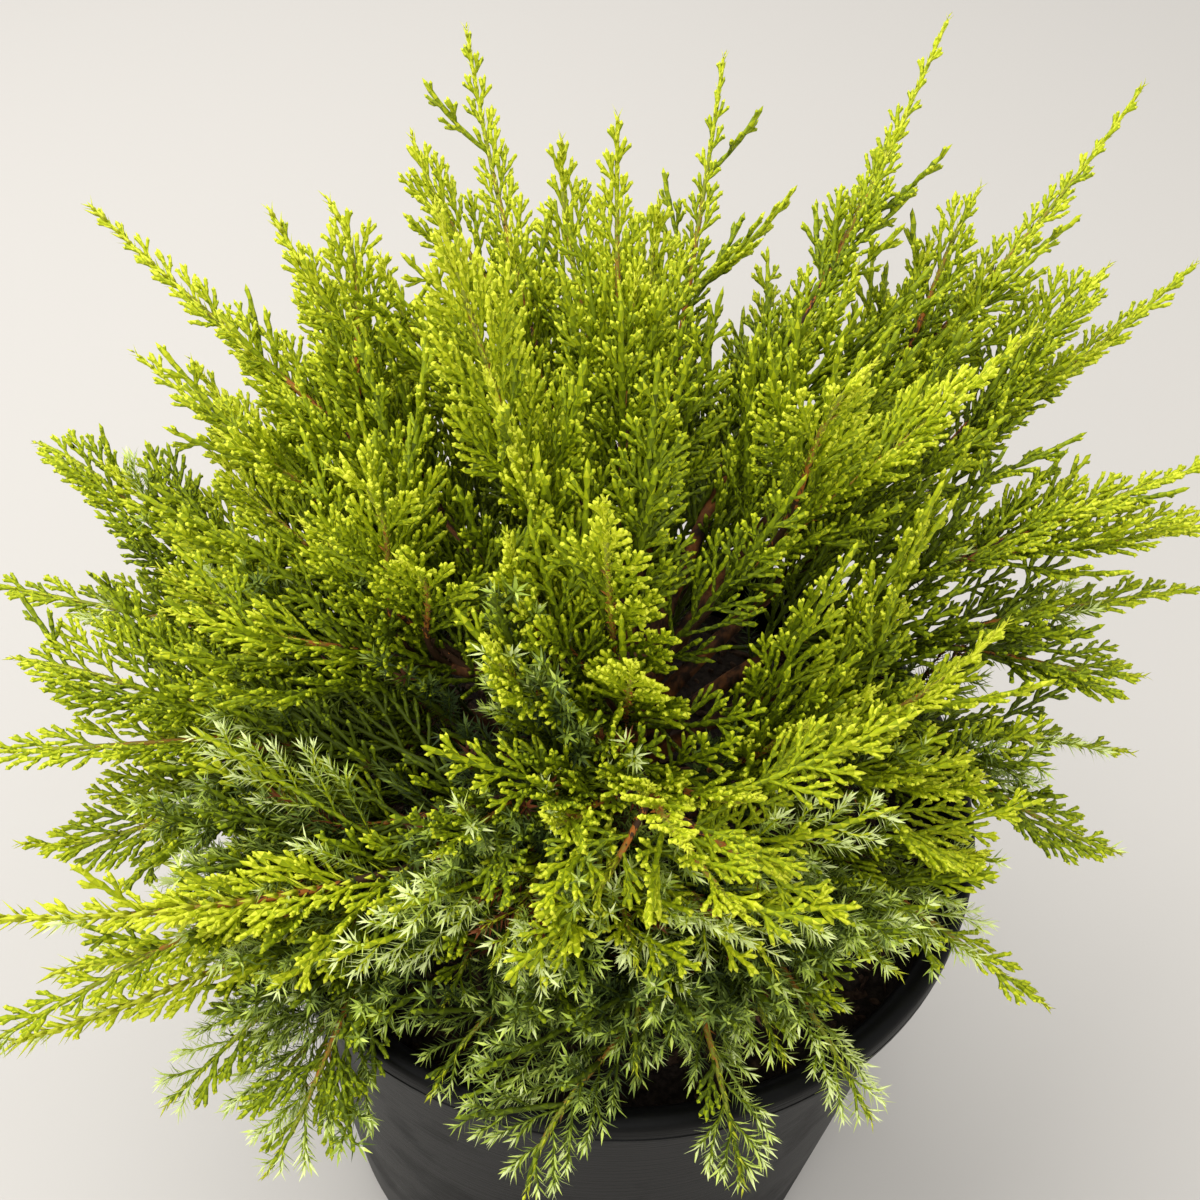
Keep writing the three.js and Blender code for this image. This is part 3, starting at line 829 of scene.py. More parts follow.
def canopy(places):
    """The height of the crown's dense surface over some places, and how far out it reaches there."""
    tips = np.array([tip for member in MASSES for tip in member["tips"] if tip[1] > OUTER_REACH], float)
    azimuth = np.degrees(np.arctan2(places[..., 1], places[..., 0]))[..., None]
    apart = (azimuth - tips[:, 0] + 180) % 360 - 180
    weight = np.exp(-(apart / CANOPY_BLUR) ** 2)
    weight /= weight.sum(-1, keepdims=True)
    reach = CANOPY_REACH * (weight * tips[:, 1]).sum(-1)
    rise = CANOPY_RISE * (weight * tips[:, 2]).sum(-1)
    share = np.hypot(places[..., 0], places[..., 1]) / reach
    height = POT_HEIGHT + lerp(CROWN_RISE, rise, np.minimum(share, CANOPY_END) ** CANOPY_CURVE)
    return height, reach


def depth_at(places):
    """How deep some places lie in the crown, from its dense surface above or beside them."""
    height, reach = canopy(places)
    beside = reach - np.hypot(places[..., 0], places[..., 1])
    return np.clip(np.minimum(height - places[..., 2], beside), 0, None)


def bear_needles(places, share, random):
    """Which growth bears needles: a share of it low down, and none high up."""
    youth = np.clip((POT_HEIGHT + YOUNG_BELOW - places[:, 2]) / YOUNG_FADE, 0, 1)
    return random.random(len(places)) < share * youth


def hollow_at(places):
    """How far the small plumes stay below the crown's dense surface, in its few hollows."""
    low = np.zeros(places.shape[:-1])
    for x, y, radius, depth in HOLLOWS:
        low += depth * np.exp(-((places[..., 0] - x) ** 2 + (places[..., 1] - y) ** 2) / radius ** 2)
    return low


def room_ahead(points, headings):
    """How far each plume may grow before it leaves the crown's dense surface."""
    steps = np.arange(PROBE_STEP, LONGEST_PLUME + PROBE_STEP, PROBE_STEP)
    probes = points[:, None] + headings[:, None] * steps[None, :, None]
    height, reach = canopy(probes)
    height = np.maximum(height - hollow_at(probes), points[:, None, 2] + LEAST_RISE)
    reach = np.maximum(reach, np.hypot(points[:, 0], points[:, 1])[:, None] + LEAST_RISE)
    inside = (probes[..., 2] < height) & (np.hypot(probes[..., 0], probes[..., 1]) < reach)
    return np.cumprod(inside, axis=1).sum(1) * PROBE_STEP


def leader_plumes(line, member, random):
    """The smaller plumes that leave a bough and its leader and fill the crown up to its surface."""
    spacing = PLUME_SPACING / member["fill"]
    _, rank, share = buds(np.array([line.length()]), spacing, PLUME_SPAN, random)
    count = len(rank)
    tangents = line.along(share)
    hands = hands_of(rank + random.integers(2))
    rolls = np.radians(random.uniform(*PLUME_ROLLS, count))
    angles = np.radians(random.uniform(*PLUME_ANGLES, count))
    made = branch(line.at(share), tangents, level_faces(tangents), hands, angles, rolls,
                  np.ones(count), np.zeros(count))
    room = np.minimum(room_ahead(made["start"], made["heading"]), LONGEST_PLUME)
    made["length"] = room * random.uniform(*PLUME_FILL, count) * (1 - PLUME_TAPER * share)
    lean = PLUME_FOLLOW * (tangents - made["heading"]) + PLUME_RISE * UP
    made["bend"] = made["length"][:, None] * lean
    away = unit(made["start"] * LEVEL) + FACE_RISE * UP
    made["face"] = unit(away + FACE_SCATTER * random.normal(size=(count, 3)))
    # Plumes far out are lighter: partly the darker colour of inner foliage, partly painted shade of the
    # crown's inside
    outer = np.clip(np.hypot(made["start"][:, 0], made["start"][:, 1]) / OUTER_AT, 0, 1)
    plumes = Shoots(**made, fork=np.full(count, FORK),
                    tone=mottled(BASE_TONE + member["tone"] + OUTER_GAIN * outer, SHOOT_SPECKLE, random),
                    needled=bear_needles(made["start"], member["needles"], random))
    return plumes.pick(plumes.length > SHORTEST_PLUME)


def leader_shoots(line, start, member, spacing, random):
    """The side shoots of one leader, by the frame's rule but closer together. They are longest a
    third of the way up it, and those of young growth splay and turn up more."""
    length = line.length()
    first = BOUGH_FIRST_SHOOT if start else FIRST_SHOOT + FIRST_GAP
    _, rank, share = buds(np.array([length]), spacing, (first, LAST_SHOOT), random)
    count = len(rank)
    growth = (share - first) / (1 - first)
    hands = hands_of(rank)
    tangents = line.along(share)
    young = member["needles"]
    wander = random.uniform(-SHOOT_WANDER, SHOOT_WANDER, count)
    angles = np.radians(lerp(SHOOT_ANGLE, TIP_ANGLE + YOUNG_SPLAY * young, growth) + wander)
    rolls = np.radians(SHOOT_LIFT + LIFT_SPREAD * random.uniform(-0.5, 0.5, count)) * hands
    vigour = random.uniform(*VIGOUR, count)
    slimming = 1 - SLIMMING * (1 - young) * growth ** SLIMMING_CURVE
    reach = np.minimum(1, SHOOT_SHARE + SHOOT_GAIN * growth) * (1 - SHOOT_LOSS * growth)
    lengths = member["spread"] * (reach + YOUNG_SPREAD * young) * vigour * slimming
    lengths = np.minimum(lengths, TIP_LEAD * (1 - share) * length)
    made = branch(line.at(share), tangents, level_faces(tangents), hands, angles, rolls, lengths,
                  np.full(count, LEADER_CURL))
    level = np.hypot(tangents[:, 0], tangents[:, 1])
    rising = np.clip((member["tip_lift"] - HANGING_LIFT) / RISING_OVER, 0, 1)
    upturn = (UPTURN * rising * lerp(1 - growth, 1.0, young) * level)[:, None]
    made["heading"] = unit(made["heading"] + upturn * UP)
    made["face"] = unit(made["face"] + upturn * unit(made["start"] * LEVEL))
    return Shoots(**made, fork=lerp(FORK, LEADER_TIP_FORK, growth),
                  tone=mottled(BASE_TONE + member["tone"] + LEADER_GAIN * growth, SHOOT_SPECKLE, random),
                  needled=bear_needles(made["start"], young, random))


def leader_pieces(line, first, last, low_tone, high_tone):
    """A part of a leader as short straight shoots in a row, on which its leaves stand."""
    count = max(int(line.length() * (last - first) / LEAF_STEP), 1)
    points = line.at(np.linspace(first, last, count + 1))
    steps = np.diff(points, axis=0)
    headings = unit(steps)
    return Shoots(start=points[:-1], heading=headings, bend=np.zeros((count, 3)),
                  length=np.linalg.norm(steps, axis=1), face=level_faces(headings), fork=np.zeros(count),
                  tone=np.linspace(low_tone, high_tone, count), needled=np.zeros(count, bool))


def plume_shoots(plumes, member, spacing, random):
    """The side shoots of smaller plumes."""
    owner, rank, share = buds(plumes.length, spacing, PLUME_SHOOT_SPAN, random)
    count = len(owner)
    left = (1 - share) * plumes.length[owner]
    foot = np.minimum(1, PLUME_SHOOT_FOOT + PLUME_SHOOT_GROWTH * share)
    lengths = np.minimum(PLUME_SHOOT_LEAST + PLUME_SHOOT_SHARE * left * foot, TIP_LEAD * left)
    made = branch(plumes.at(owner, share), plumes.along(owner, share), plumes.face[owner],
                  hands_of(rank),
                  np.radians(plumes.fork[owner] + random.uniform(-TWIG_WANDER, TWIG_WANDER, count)),
                  np.radians(random.normal(0, PLUME_SHOOT_ROLL, count)),
                  lengths * random.uniform(*PLUME_SHOOT_VIGOUR, count), np.full(count, PLUME_SHOOT_CURL))
    tones = mottled(plumes.tone[owner] + PLUME_SHOOT_GAIN * share, TWIG_SPECKLE, random)
    young = bear_needles(made["start"], YOUNG_PLUME_SHARE * member["needles"], random)
    return Shoots(**made, fork=lerp(FORK, PLUME_TIP_FORK, share), tone=tones,
                  needled=plumes.needled[owner] | young)


def twigs_on(shoots, spacing, shape, roll, random):
    """The next finer growth on some shoots. Its length is a least one and a share of what is left,
    and stays short enough near a shoot's tip for that tip to lead."""
    least, share_left, longest = shape
    spacing = np.where(shoots.needled, YOUNG_SPACING * spacing, spacing)
    owner, rank, share = buds(shoots.length, spacing, TWIG_SPAN, random)
    count = len(owner)
    left = (1 - share) * shoots.length[owner]
    lengths = np.minimum(least + share_left * left, longest) * random.uniform(*TWIG_VIGOUR, count)
    lengths = np.minimum(lengths, TIP_LEAD * left)
    rolls = np.where(shoots.needled[owner], YOUNG_ROLL, roll)
    made = branch(shoots.at(owner, share), shoots.along(owner, share), shoots.face[owner],
                  hands_of(rank + owner),
                  np.radians(shoots.fork[owner] + random.uniform(-TWIG_WANDER, TWIG_WANDER, count)),
                  np.radians(random.normal(0, 1, count) * rolls), lengths, np.full(count, TWIG_CURL))
    tones = mottled(shoots.tone[owner] + TWIG_GAIN * share, TWIG_SPECKLE, random)
    twigs = Shoots(**made, fork=shoots.fork[owner], tone=tones, needled=shoots.needled[owner])
    return twigs.pick(lengths > SHORTEST_SHARE * least)


def tones_to_slots(tones, palette_slots):
    """The material slot of each tone, in a palette's first slot and count of slots."""
    first, count = palette_slots
    return first + np.clip((tones * count).astype(int), 0, count - 1)


class Growth:
    """Gathers corners, triangles and their slots for one kind of growth, to be joined as one piece."""

    def __init__(self):
        self.corners, self.triangles, self.slots = [], [], []
        self.total = 0

    def add(self, corners, triangles, slots):
        self.corners.append(corners.reshape(-1, 3))
        self.triangles.append(triangles.reshape(-1, 3) + self.total)
        self.slots.append(slots.ravel())
        self.total += len(self.corners[-1])

    def tubes(self, centres, radii, tones, slots, random, speckle=SCALE_SPECKLE):
        """Cords through rows of centres: rings of three corners, each turned a sixth round from the
        last so that their facets lie like scale leaves, closed by a point and a flat foot."""
        count, rings = radii.shape
        along = unit(np.gradient(centres, axis=1))
        reference = unit(random.normal(size=(count, 1, 3)))
        across = unit(reference - (reference * along).sum(2, keepdims=True) * along)
        beside = np.cross(along, across)
        turn = np.pi / 3 * np.arange(rings)[:, None] + 2 * np.pi / 3 * np.arange(3)[None, :]
        wheel = (np.cos(turn)[None, :, :, None] * across[:, :, None, :]
                 + np.sin(turn)[None, :, :, None] * beside[:, :, None, :])
        ring_corners = centres[:, :, None, :] + radii[:, :, None, None] * wheel
        corners = np.concatenate([ring_corners[:, :-1].reshape(count, -1, 3), centres[:, -1:]], axis=1)
        size = corners.shape[1]
        # Each face: three corners, its ring, and whether it is lighter or darker than that ring
        faces = []
        for ring in range(rings - 2):
            for j in range(3):
                a, b = 3 * ring + j, 3 * ring + (j + 1) % 3
                faces += [(a, b, a + 3, ring, 1), (a + 3, b, b + 3, ring, -1)]
        last = 3 * (rings - 2)
        faces += [(last + j, last + (j + 1) % 3, size - 1, rings - 2, 1) for j in range(3)]
        faces.append((0, 2, 1, 0, 0))
        faces = np.array(faces)
        triangles = faces[None, :, :3] + size * np.arange(count)[:, None, None]
        shades = tones[:, faces[:, 3]] + SCALE_CONTRAST * faces[None, :, 4]
        shades = shades + random.normal(0, speckle, (count, len(faces)))
        self.add(corners, triangles, tones_to_slots(shades, slots))

    def cords(self, shoots, kind, crown, random):
        """Scale-leaved cords along shoots, swelling a little towards rounded bright tips."""
        if not len(shoots):
            return
        scale, width, gain = CORD_KINDS[kind]
        # Painted shade: a cord's tone falls with its depth in the crown
        lit = shoots.tone - DEPTH_SHADE * depth_at(shoots.all_at(0.5))
        rings = np.round(shoots.length / (crown.scale / MM * scale)).astype(int) + 1
        rings = np.clip(rings, *RING_COUNTS)
        least_thick, thickening = CORD_THICKNESS
        for size in np.unique(rings):
            chosen = shoots.pick(rings == size)
            count = len(chosen)
            shares = np.concatenate([np.linspace(0, 1, size - 1) * (1 - TIP_RING / size), [1.0]])
            owner = np.repeat(np.arange(count), size)
            centres = chosen.at(owner, np.tile(shares, count)).reshape(count, size, 3)
            profile = np.interp(shares, *CORD_PROFILE)
            thick = np.minimum(1.0, least_thick + thickening * chosen.length)
            radii = crown.cord / MM * width * profile[None, :] * thick[:, None]
            radii = radii * random.uniform(*RING_VARIATION, (count, size))
            tones = lit[rings == size][:, None] + CORD_TONE + gain * shares[None, :] ** 3
            self.tubes(centres, radii, tones, SCALE_SLOTS, random)

    def needles(self, shoots, spacing, length, slots, random, width=NEEDLE_WIDTH, lean=NEEDLE_LEAN):
        """Whorls of three flat pointed needles along shoots, closing to a tuft at each tip."""
        if not len(shoots):
            return
        owner, rank, share = buds(shoots.length, spacing / 3, (FIRST_NEEDLE, 1.0), random)
        count = len(owner)
        tangent = shoots.along(owner, share)
        face = shoots.face[owner]
        side = np.cross(tangent, face)
        turn = 2 * np.pi / 3 * rank + np.pi / 3 * (rank // 3)
        turn = turn + random.uniform(-WHORL_WANDER, WHORL_WANDER, count)
        out = np.cos(turn)[:, None] * side + np.sin(turn)[:, None] * face
        wander = random.uniform(-NEEDLE_WANDER, NEEDLE_WANDER, count)
        angle = np.radians(lerp(lean, NEEDLE_TIP_LEAN, share ** 3) + wander)
        heading = unit(np.cos(angle)[:, None] * tangent + np.sin(angle)[:, None] * out)
        across = np.cross(heading, out)
        up = np.cross(across, heading)
        size = length * random.uniform(*NEEDLE_SIZES, count) * lerp(1.0, NEEDLE_TIP_SIZE, share ** 2)
        foot = shoots.at(owner, share)
        half = width / 2 * size[:, None]
        middle = foot + NEEDLE_MIDDLE * size[:, None] * heading - NEEDLE_KEEL * half * up
        corners = np.stack([foot, middle + half * across, middle - half * across,
                            foot + size[:, None] * heading], axis=1)
        faces = np.array([(0, 1, 3), (0, 3, 2), (0, 2, 1), (3, 1, 2)])
        triangles = faces[None] + 4 * np.arange(count)[:, None, None]
        # Painted shade: a needle's tone falls with its depth in the crown
        tone = shoots.tone[owner] - NEEDLE_DEPTH_SHADE * depth_at(foot)
        tone = tone + NEEDLE_TONE + NEEDLE_GAIN * share ** 1.5
        tone += random.normal(0, NEEDLE_SPECKLE, count)
        self.add(corners, triangles, tones_to_slots(tone[:, None] + np.array(NEEDLE_FACE_TONES), slots))

    def piece(self, name, materials, smooth=True):
        """The one object, from corners in millimetres and triangles."""
        corners, triangles = np.concatenate(self.corners), np.concatenate(self.triangles)
        mesh = bpy.data.meshes.new(name)
        mesh.vertices.add(len(corners))
        mesh.vertices.foreach_set("co", (corners * MM).astype(np.float32).ravel())
        mesh.loops.add(3 * len(triangles))
        mesh.loops.foreach_set("vertex_index", triangles.astype(np.int32).ravel())
        mesh.polygons.add(len(triangles))
        mesh.polygons.foreach_set("loop_start", np.arange(0, 3 * len(triangles), 3, dtype=np.int32))
        for material in materials:
            mesh.materials.append(material)
        mesh.polygons.foreach_set("material_index", np.concatenate(self.slots).astype(np.int32))
        mesh.update(calc_edges=True)
        if not smooth:
            mesh.shade_flat()
        return add_object(name, mesh)


def may_grow(shoots):
    return clear_of_pot(shoots) & within_reach(shoots)


def grow(member, lines, crown, random):
    """All the growth of one mass: its small plumes, its side shoots, their twigs and the nubs."""
    plumes = Shoots.join([leader_plumes(line, member, random) for line, _ in lines])
    spacing = crown.shoot_spacing / MM
    sides = [leader_shoots(line, start, member, spacing, random) for line, start in lines]
    plumes = plumes.pick(may_grow(plumes))
    sides.append(plume_shoots(plumes, member, spacing * PLUME_SHOOT_GAP, random))
    shoots = Shoots.join(sides)
    shoots = shoots.pick(may_grow(shoots) & (shoots.length > SHORTEST_TWIG))
    twigs = twigs_on(shoots, crown.twig_spacing / MM, TWIG_SHAPE, TWIG_ROLL, random)
    thinned = np.clip((depth_at(twigs.start) - THIN_FROM) / THIN_OVER, 0, MOST_THINNED)
    twigs = twigs.pick((random.random(len(twigs)) > thinned) & may_grow(twigs))
    bearing = ~twigs.needled & (twigs.length > NUB_BEARER) & (depth_at(twigs.start) < THIN_FROM)
    nubs = twigs_on(twigs.pick(bearing), NUB_SPACING, NUB_SHAPE, NUB_ROLL, random)
    return plumes, shoots, twigs, nubs.pick(within_reach(nubs))


def grow_leader(scales, line, start, member, crown, random):
    """A leader's own cord over its last stretch, and the longer leaves that stand along it."""
    first = LEADER_CORD_START[1] if start else LEADER_CORD_START[0]
    shares = np.linspace(first, 1, int(line.length() * (1 - first) / (crown.scale / MM) / LEADER_SCALE))
    radii = np.interp(shares, [first, LEADER_TIP, 1.0], LEADER_RADII)[None] * (crown.cord / MM)
    tones = LEADER_CORD_TONE + member["tone"] + LEADER_GAIN * (shares - first) / (1 - first)
    tones = tones[None] * (1 - YOUNG_LEADER_SHADE * member["needles"])
    scales.tubes(line.at(shares)[None], radii, tones, SCALE_SLOTS, random, SHOOT_SPECKLE)
    leafy = member["leafy"]
    tone = LEAF_TONE + member["tone"]
    leaves = leader_pieces(line, LEAF_START / leafy, 1.0, tone, tone + LEAF_GAIN)
    scales.needles(leaves, LEAF_SPACING, LEAF_LENGTH * leafy, SCALE_SLOTS, random, LEAF_WIDTH,
                   LEAF_LEAN * leafy)


def grow_group(group, lines_of, crown, random_of):
    """The scale-leaved cords and the needles of one group of masses."""
    scales, needles = Growth(), Growth()
    for member in group:
        random = random_of[member["name"]]
        lines = lines_of[member["name"]]
        plumes, shoots, twigs, nubs = grow(member, lines, crown, random)
        for kind, bare in (("plume", plumes), ("shoot", shoots.pick(~shoots.needled)),
                           ("twig", twigs.pick(~twigs.needled)), ("nub", nubs)):
            scales.cords(bare, kind, crown, random)
        for young in (shoots.pick(shoots.needled), twigs.pick(twigs.needled)):
            deep = depth_at(young.start) > DEAD_BELOW
            dead = deep & (random.random(len(young)) < DEAD_SHARE)
            for chosen, slots in ((~dead, NEEDLE_SLOTS), (dead, DEAD_SLOTS)):
                needles.needles(young.pick(chosen), crown.whorl / MM, crown.needle / MM, slots, random)
            scales.cords(young, "young", crown, random)
        for line, start in lines:
            grow_leader(scales, line, start, member, crown, random)
    return scales, needles


def smooth_tube(centres, radii, sides):
    """A round limb through its centres, with both ends closed. Radii vary round each ring."""
    rings = len(centres)
    along = unit(np.gradient(centres, axis=0))
    across = np.cross(along, UP)
    across[np.linalg.norm(across, axis=1) < UPRIGHT] = (1, 0, 0)
    across = unit(across)
    beside = np.cross(along, across)
    turn = 2 * np.pi * np.arange(sides) / sides
    wheel = np.cos(turn)[None, :, None] * across[:, None] + np.sin(turn)[None, :, None] * beside[:, None]
    corners = (centres[:, None, :] + radii[:, :, None] * wheel).reshape(-1, 3)
    corners = np.concatenate([corners, centres[:1], centres[-1:]])
    edge = np.arange(sides)
    after = (edge + 1) % sides
    ring_starts = sides * np.arange(rings - 1)[:, None]
    low = (ring_starts + edge).ravel()
    low_next = (ring_starts + after).ravel()
    walls = np.concatenate([np.stack([low, low_next, low + sides], 1),
                            np.stack([low_next, low_next + sides, low + sides], 1)])
    top = (rings - 1) * sides
    foot = np.stack([after, edge, np.full(sides, rings * sides)], 1)
    crest = np.stack([top + edge, top + after, np.full(sides, rings * sides + 1)], 1)
    return corners, np.concatenate([walls, foot, crest])


def bark_relief(height, turn, phase):
    """How far bark stands out, round and along a limb: long ridges that wander, broken by flakes."""
    ridges = np.abs(np.sin(3.5 * turn + 1.3 * np.sin(height / 15 + phase) + phase))
    flakes = np.sin(5 * turn + height / 3.1 + 2 * phase) * np.sin(height / 5.3 - 2 * turn + phase)
    return 0.65 * ridges + 0.35 * flakes


def turns_of(sides):
    return math.tau * np.arange(sides)[None, :] / sides


def trunk_tube():
    rings, sides = TRUNK_RINGS
    heights = np.linspace(SOIL_TOP - TRUNK_FOOT, TRUNK_TOP, rings)
    centres = np.array([trunk_centre_at(height) for height in heights])
    above = np.maximum(heights, SOIL_TOP)
    radii = np.array([trunk_radius_at(height) for height in above])[:, None]
    flare = np.exp((SOIL_TOP - above) / FLARE_HEIGHT)[:, None]
    turn = turns_of(sides)
    lobes = 1 + LOBE_DEPTH * flare * np.cos(FLARE_LOBES * turn)
    low, depth = TRUNK_BARK
    relief = bark_relief(heights[:, None], turn, TRUNK_BARK_PHASE)
    return smooth_tube(centres, radii * lobes * (low + depth * relief), sides)


def limb_tube(line, span, radii, sides, bark, random):
    """A stretch of a limb, with its bark's lowest level and its depth as shares of the radius."""
    shares = np.linspace(*span, len(radii))
    relief = bark_relief((shares * line.length())[:, None], turns_of(sides), random.uniform(*BARK_PHASES))
    low, depth = bark
    return smooth_tube(line.at(shares), radii[:, None] * (low + depth * relief), sides)


def woody_twigs(lines_of):
    """The leaders' slimmer wood beyond their boughs, brown to olive, with husks along it."""
    random = np.random.default_rng(TWIG_SEED)
    wood = Growth()
    rings, sides = TWIG_RINGS
    for line, start in (entry for member in MASSES for entry in lines_of[member["name"]]):
        root = BOUGH_TIP_RADIUS if start else FORK_RADIUS
        shares = np.linspace(start, TWIG_END, rings)
        progress = (shares - start) / (TWIG_END - start)
        radii = lerp(root, TWIG_TIP_RADIUS, progress ** 0.5)
        tube, faces = limb_tube(line, (start, TWIG_END), radii, sides, TWIG_BARK, random)
        begin, finish = line.at([start, TWIG_END])
        middles = tube[faces].mean(1)
        far = np.linalg.norm(middles - begin, axis=1) / np.linalg.norm(finish - begin)
        # Painted shade: the wood's tone falls with its depth in the crown; its rise along the twig is its
        # own colour
        tones = far - DEPTH_SHADE * depth_at(middles) + random.normal(0, WOOD_SPECKLE, len(faces))
        wood.add(tube, faces, tones_to_slots(tones, TWIG_SLOTS))
        wood.needles(leader_pieces(line, start, HUSK_END, *HUSK_TONES), HUSK_SPACING, HUSK_LENGTH,
                     TWIG_SLOTS, random, HUSK_WIDTH, HUSK_LEAN)
    return wood


def turned_piece(name, profile, sides):
    """A closed shape turned round +Z from a profile that starts and ends on the axis."""
    shape = bmesh.new()
    rings = []
    for radius, height in profile:
        around = range(sides) if radius else (0,)
        rings.append([shape.verts.new((radius * math.cos(math.tau * side / sides) * MM,
                                       radius * math.sin(math.tau * side / sides) * MM, height * MM))
                      for side in around])
    for low, high in zip(rings, rings[1:]):
        for side in range(sides):
            after = (side + 1) % sides
            if len(low) == 1:
                shape.faces.new((low[0], high[after], high[side]))
            elif len(high) == 1:
                shape.faces.new((low[side], low[after], high[0]))
            else:
                shape.faces.new((low[side], low[after], high[after], high[side]))
    bmesh.ops.recalc_face_normals(shape, faces=shape.faces)
    mesh = bpy.data.meshes.new(name)
    shape.to_mesh(mesh)
    shape.free()
    mesh.shade_smooth()
    mesh.set_sharp_from_angle(angle=math.radians(SHARP_EDGE))
    return add_object(name, mesh)


def evaluated_mesh(piece):
    """A plain mesh of a piece with its modifiers applied."""
    return bpy.data.meshes.new_from_object(piece.evaluated_get(bpy.context.evaluated_depsgraph_get()))


def cut_hole(piece, angle):
    """Cuts a round drain hole straight down through the pot's base."""
    place = (HOLE_RING * math.cos(angle) * MM, HOLE_RING * math.sin(angle) * MM, 0)
    bpy.ops.mesh.primitive_cylinder_add(vertices=HOLE_SIDES, radius=HOLE_RADIUS * MM,
                                        depth=HOLE_DEPTH * MM, location=place)
    cutter = bpy.context.object
    cut = piece.modifiers.new("hole", "BOOLEAN")
    cut.operation = "DIFFERENCE"
    cut.solver = "EXACT"
    cut.object = cutter
    holed = evaluated_mesh(piece)
    piece.modifiers.clear()
    piece.data = holed
    bpy.data.objects.remove(cutter)


def chips_tree(material):
    """Geometry Nodes that strew chips over upward faces, and realize those clear of the pot's wall."""
    tree = bpy.data.node_groups.new("strewn_chips", "GeometryNodeTree")
    tree.interface.new_socket("Geometry", in_out="INPUT", socket_type="NodeSocketGeometry")
    for name in ("Density", "Largest", "Within"):
        tree.interface.new_socket(name, in_out="INPUT", socket_type="NodeSocketFloat")
    tree.interface.new_socket("Geometry", in_out="OUTPUT", socket_type="NodeSocketGeometry")
    nodes = Nodes(tree)

    def add(kind, inputs, **settings):
        return nodes.node(kind, settings, inputs).outputs

    given = add("NodeGroupInput", {})
    upright = add("ShaderNodeSeparateXYZ", {0: add("GeometryNodeInputNormal", {})[0]})["Z"]
    facing = add("ShaderNodeMath", {0: upright, 1: CHIP_SLOPE}, operation="GREATER_THAN")[0]
    strewn = add("GeometryNodeDistributePointsOnFaces", {
        "Mesh": given["Geometry"], "Density": given["Density"], "Selection": facing, "Seed": 11})["Points"]
    block = add("GeometryNodeMeshIcoSphere", {"Radius": 1.0, "Subdivisions": 1})["Mesh"]
    turn = add("FunctionNodeRandomValue", {1: (math.tau,) * 3, "Seed": 3}, data_type="FLOAT_VECTOR")[0]
    slim, full = CHIP_SHAPES
    shape = add("FunctionNodeRandomValue", {0: slim, 1: full, "Seed": 7}, data_type="FLOAT_VECTOR")[0]
    size = add("ShaderNodeVectorMath", {0: shape, "Scale": given["Largest"]}, operation="SCALE")[0]
    level = add("ShaderNodeVectorMath", {0: add("GeometryNodeInputPosition", {})[0], 1: tuple(LEVEL)},
                operation="MULTIPLY")[0]
    reach = add("ShaderNodeVectorMath", {0: level}, operation="LENGTH")["Value"]
    inside = add("ShaderNodeMath", {0: reach, 1: given["Within"]}, operation="LESS_THAN")[0]
    placed = add("GeometryNodeInstanceOnPoints", {
        "Points": strewn, "Selection": inside, "Instance": block, "Rotation": turn, "Scale": size})[0]
    realized = add("GeometryNodeRealizeInstances", {0: placed})[0]
    finished = add("GeometryNodeSetMaterial", {"Geometry": realized, "Material": material})[0]
    add("NodeGroupOutput", {0: finished})
    return tree


def chips_on(ground, density, material):
    """Bark chips strewn over the mix, as one plain mesh."""
    holder = add_object("chips_source", ground.data.copy())
    modifier = holder.modifiers.new("strewn", "NODES")
    modifier.node_group = chips_tree(material)
    values = {"Density": density, "Largest": LARGEST_CHIP * MM, "Within": CHIPS_WITHIN * MM}
    for item in modifier.node_group.interface.items_tree:
        if item.name in values:
            modifier[item.identifier] = values[item.name]
    mesh = evaluated_mesh(holder)
    mesh.name = "mix_chips"
    bpy.data.objects.remove(holder)
    return add_object("mix_chips", mesh)


class BuildPot(bpy.types.Operator):
    """Turns the smooth pot with its rolled lip, and cuts the drain holes in its base"""

    bl_idname = "conifer.build_pot"
    bl_label = "Build pot"

    def execute(self, context):
        settings = context.scene.conifer_pot
        height, rim, foot, neck = POT_HEIGHT, RIM_RADIUS, FOOT_RADIUS, NECK_RADIUS
        wall, under = settings.wall / MM, height - settings.lip / MM
        base = [(0, 3.0), (foot - 30, 3.0), (foot - 20, 2.0), (foot - 15, 0.0), (foot - 4.5, 0.0),
                (foot - 2.2, 0.6), (foot - 0.7, 1.8), (foot, 4.0), (lerp(foot, neck, 0.5), 0.5 * under)]
        collar = [(neck - 0.3, under - 3.5), (neck + 0.4, under - 1.4), (neck + 1.8, under - 0.3)]
        lip = [(rim - 2.6, under + 0.1), (rim - 0.9, under + 0.9), (rim - 0.15, under + 2.4),
               (rim - 0.05, under + 4.6), (rim - 0.6, under + 5.0), (rim - 0.6, under + 5.6),
               (rim - 0.02, under + 6.1), (rim - 0.1, height - 3.4), (rim - 0.8, height - 1.4),
               (rim - 2.2, height - 0.25), (rim - 4.0, height - 0.02), (rim - 6.0, height - 0.5)]
        inside = [(neck - wall + 1.2, height - 2.2), (neck - wall, height - 5), (neck - wall - 0.2, under),
                  (foot - wall, 6.0), (foot - wall - 3, 5.2), (0, 5.2)]
        piece = turned_piece("pot_shell", base + collar + lip + inside, POT_SIDES)
        for index in range(HOLE_COUNT):
            cut_hole(piece, index * math.tau / HOLE_COUNT)
        piece.data.materials.append(plastic_finish(tuple(settings.plastic)))
        dress(piece, "pot_plastic", "pot")
        return {"FINISHED"}


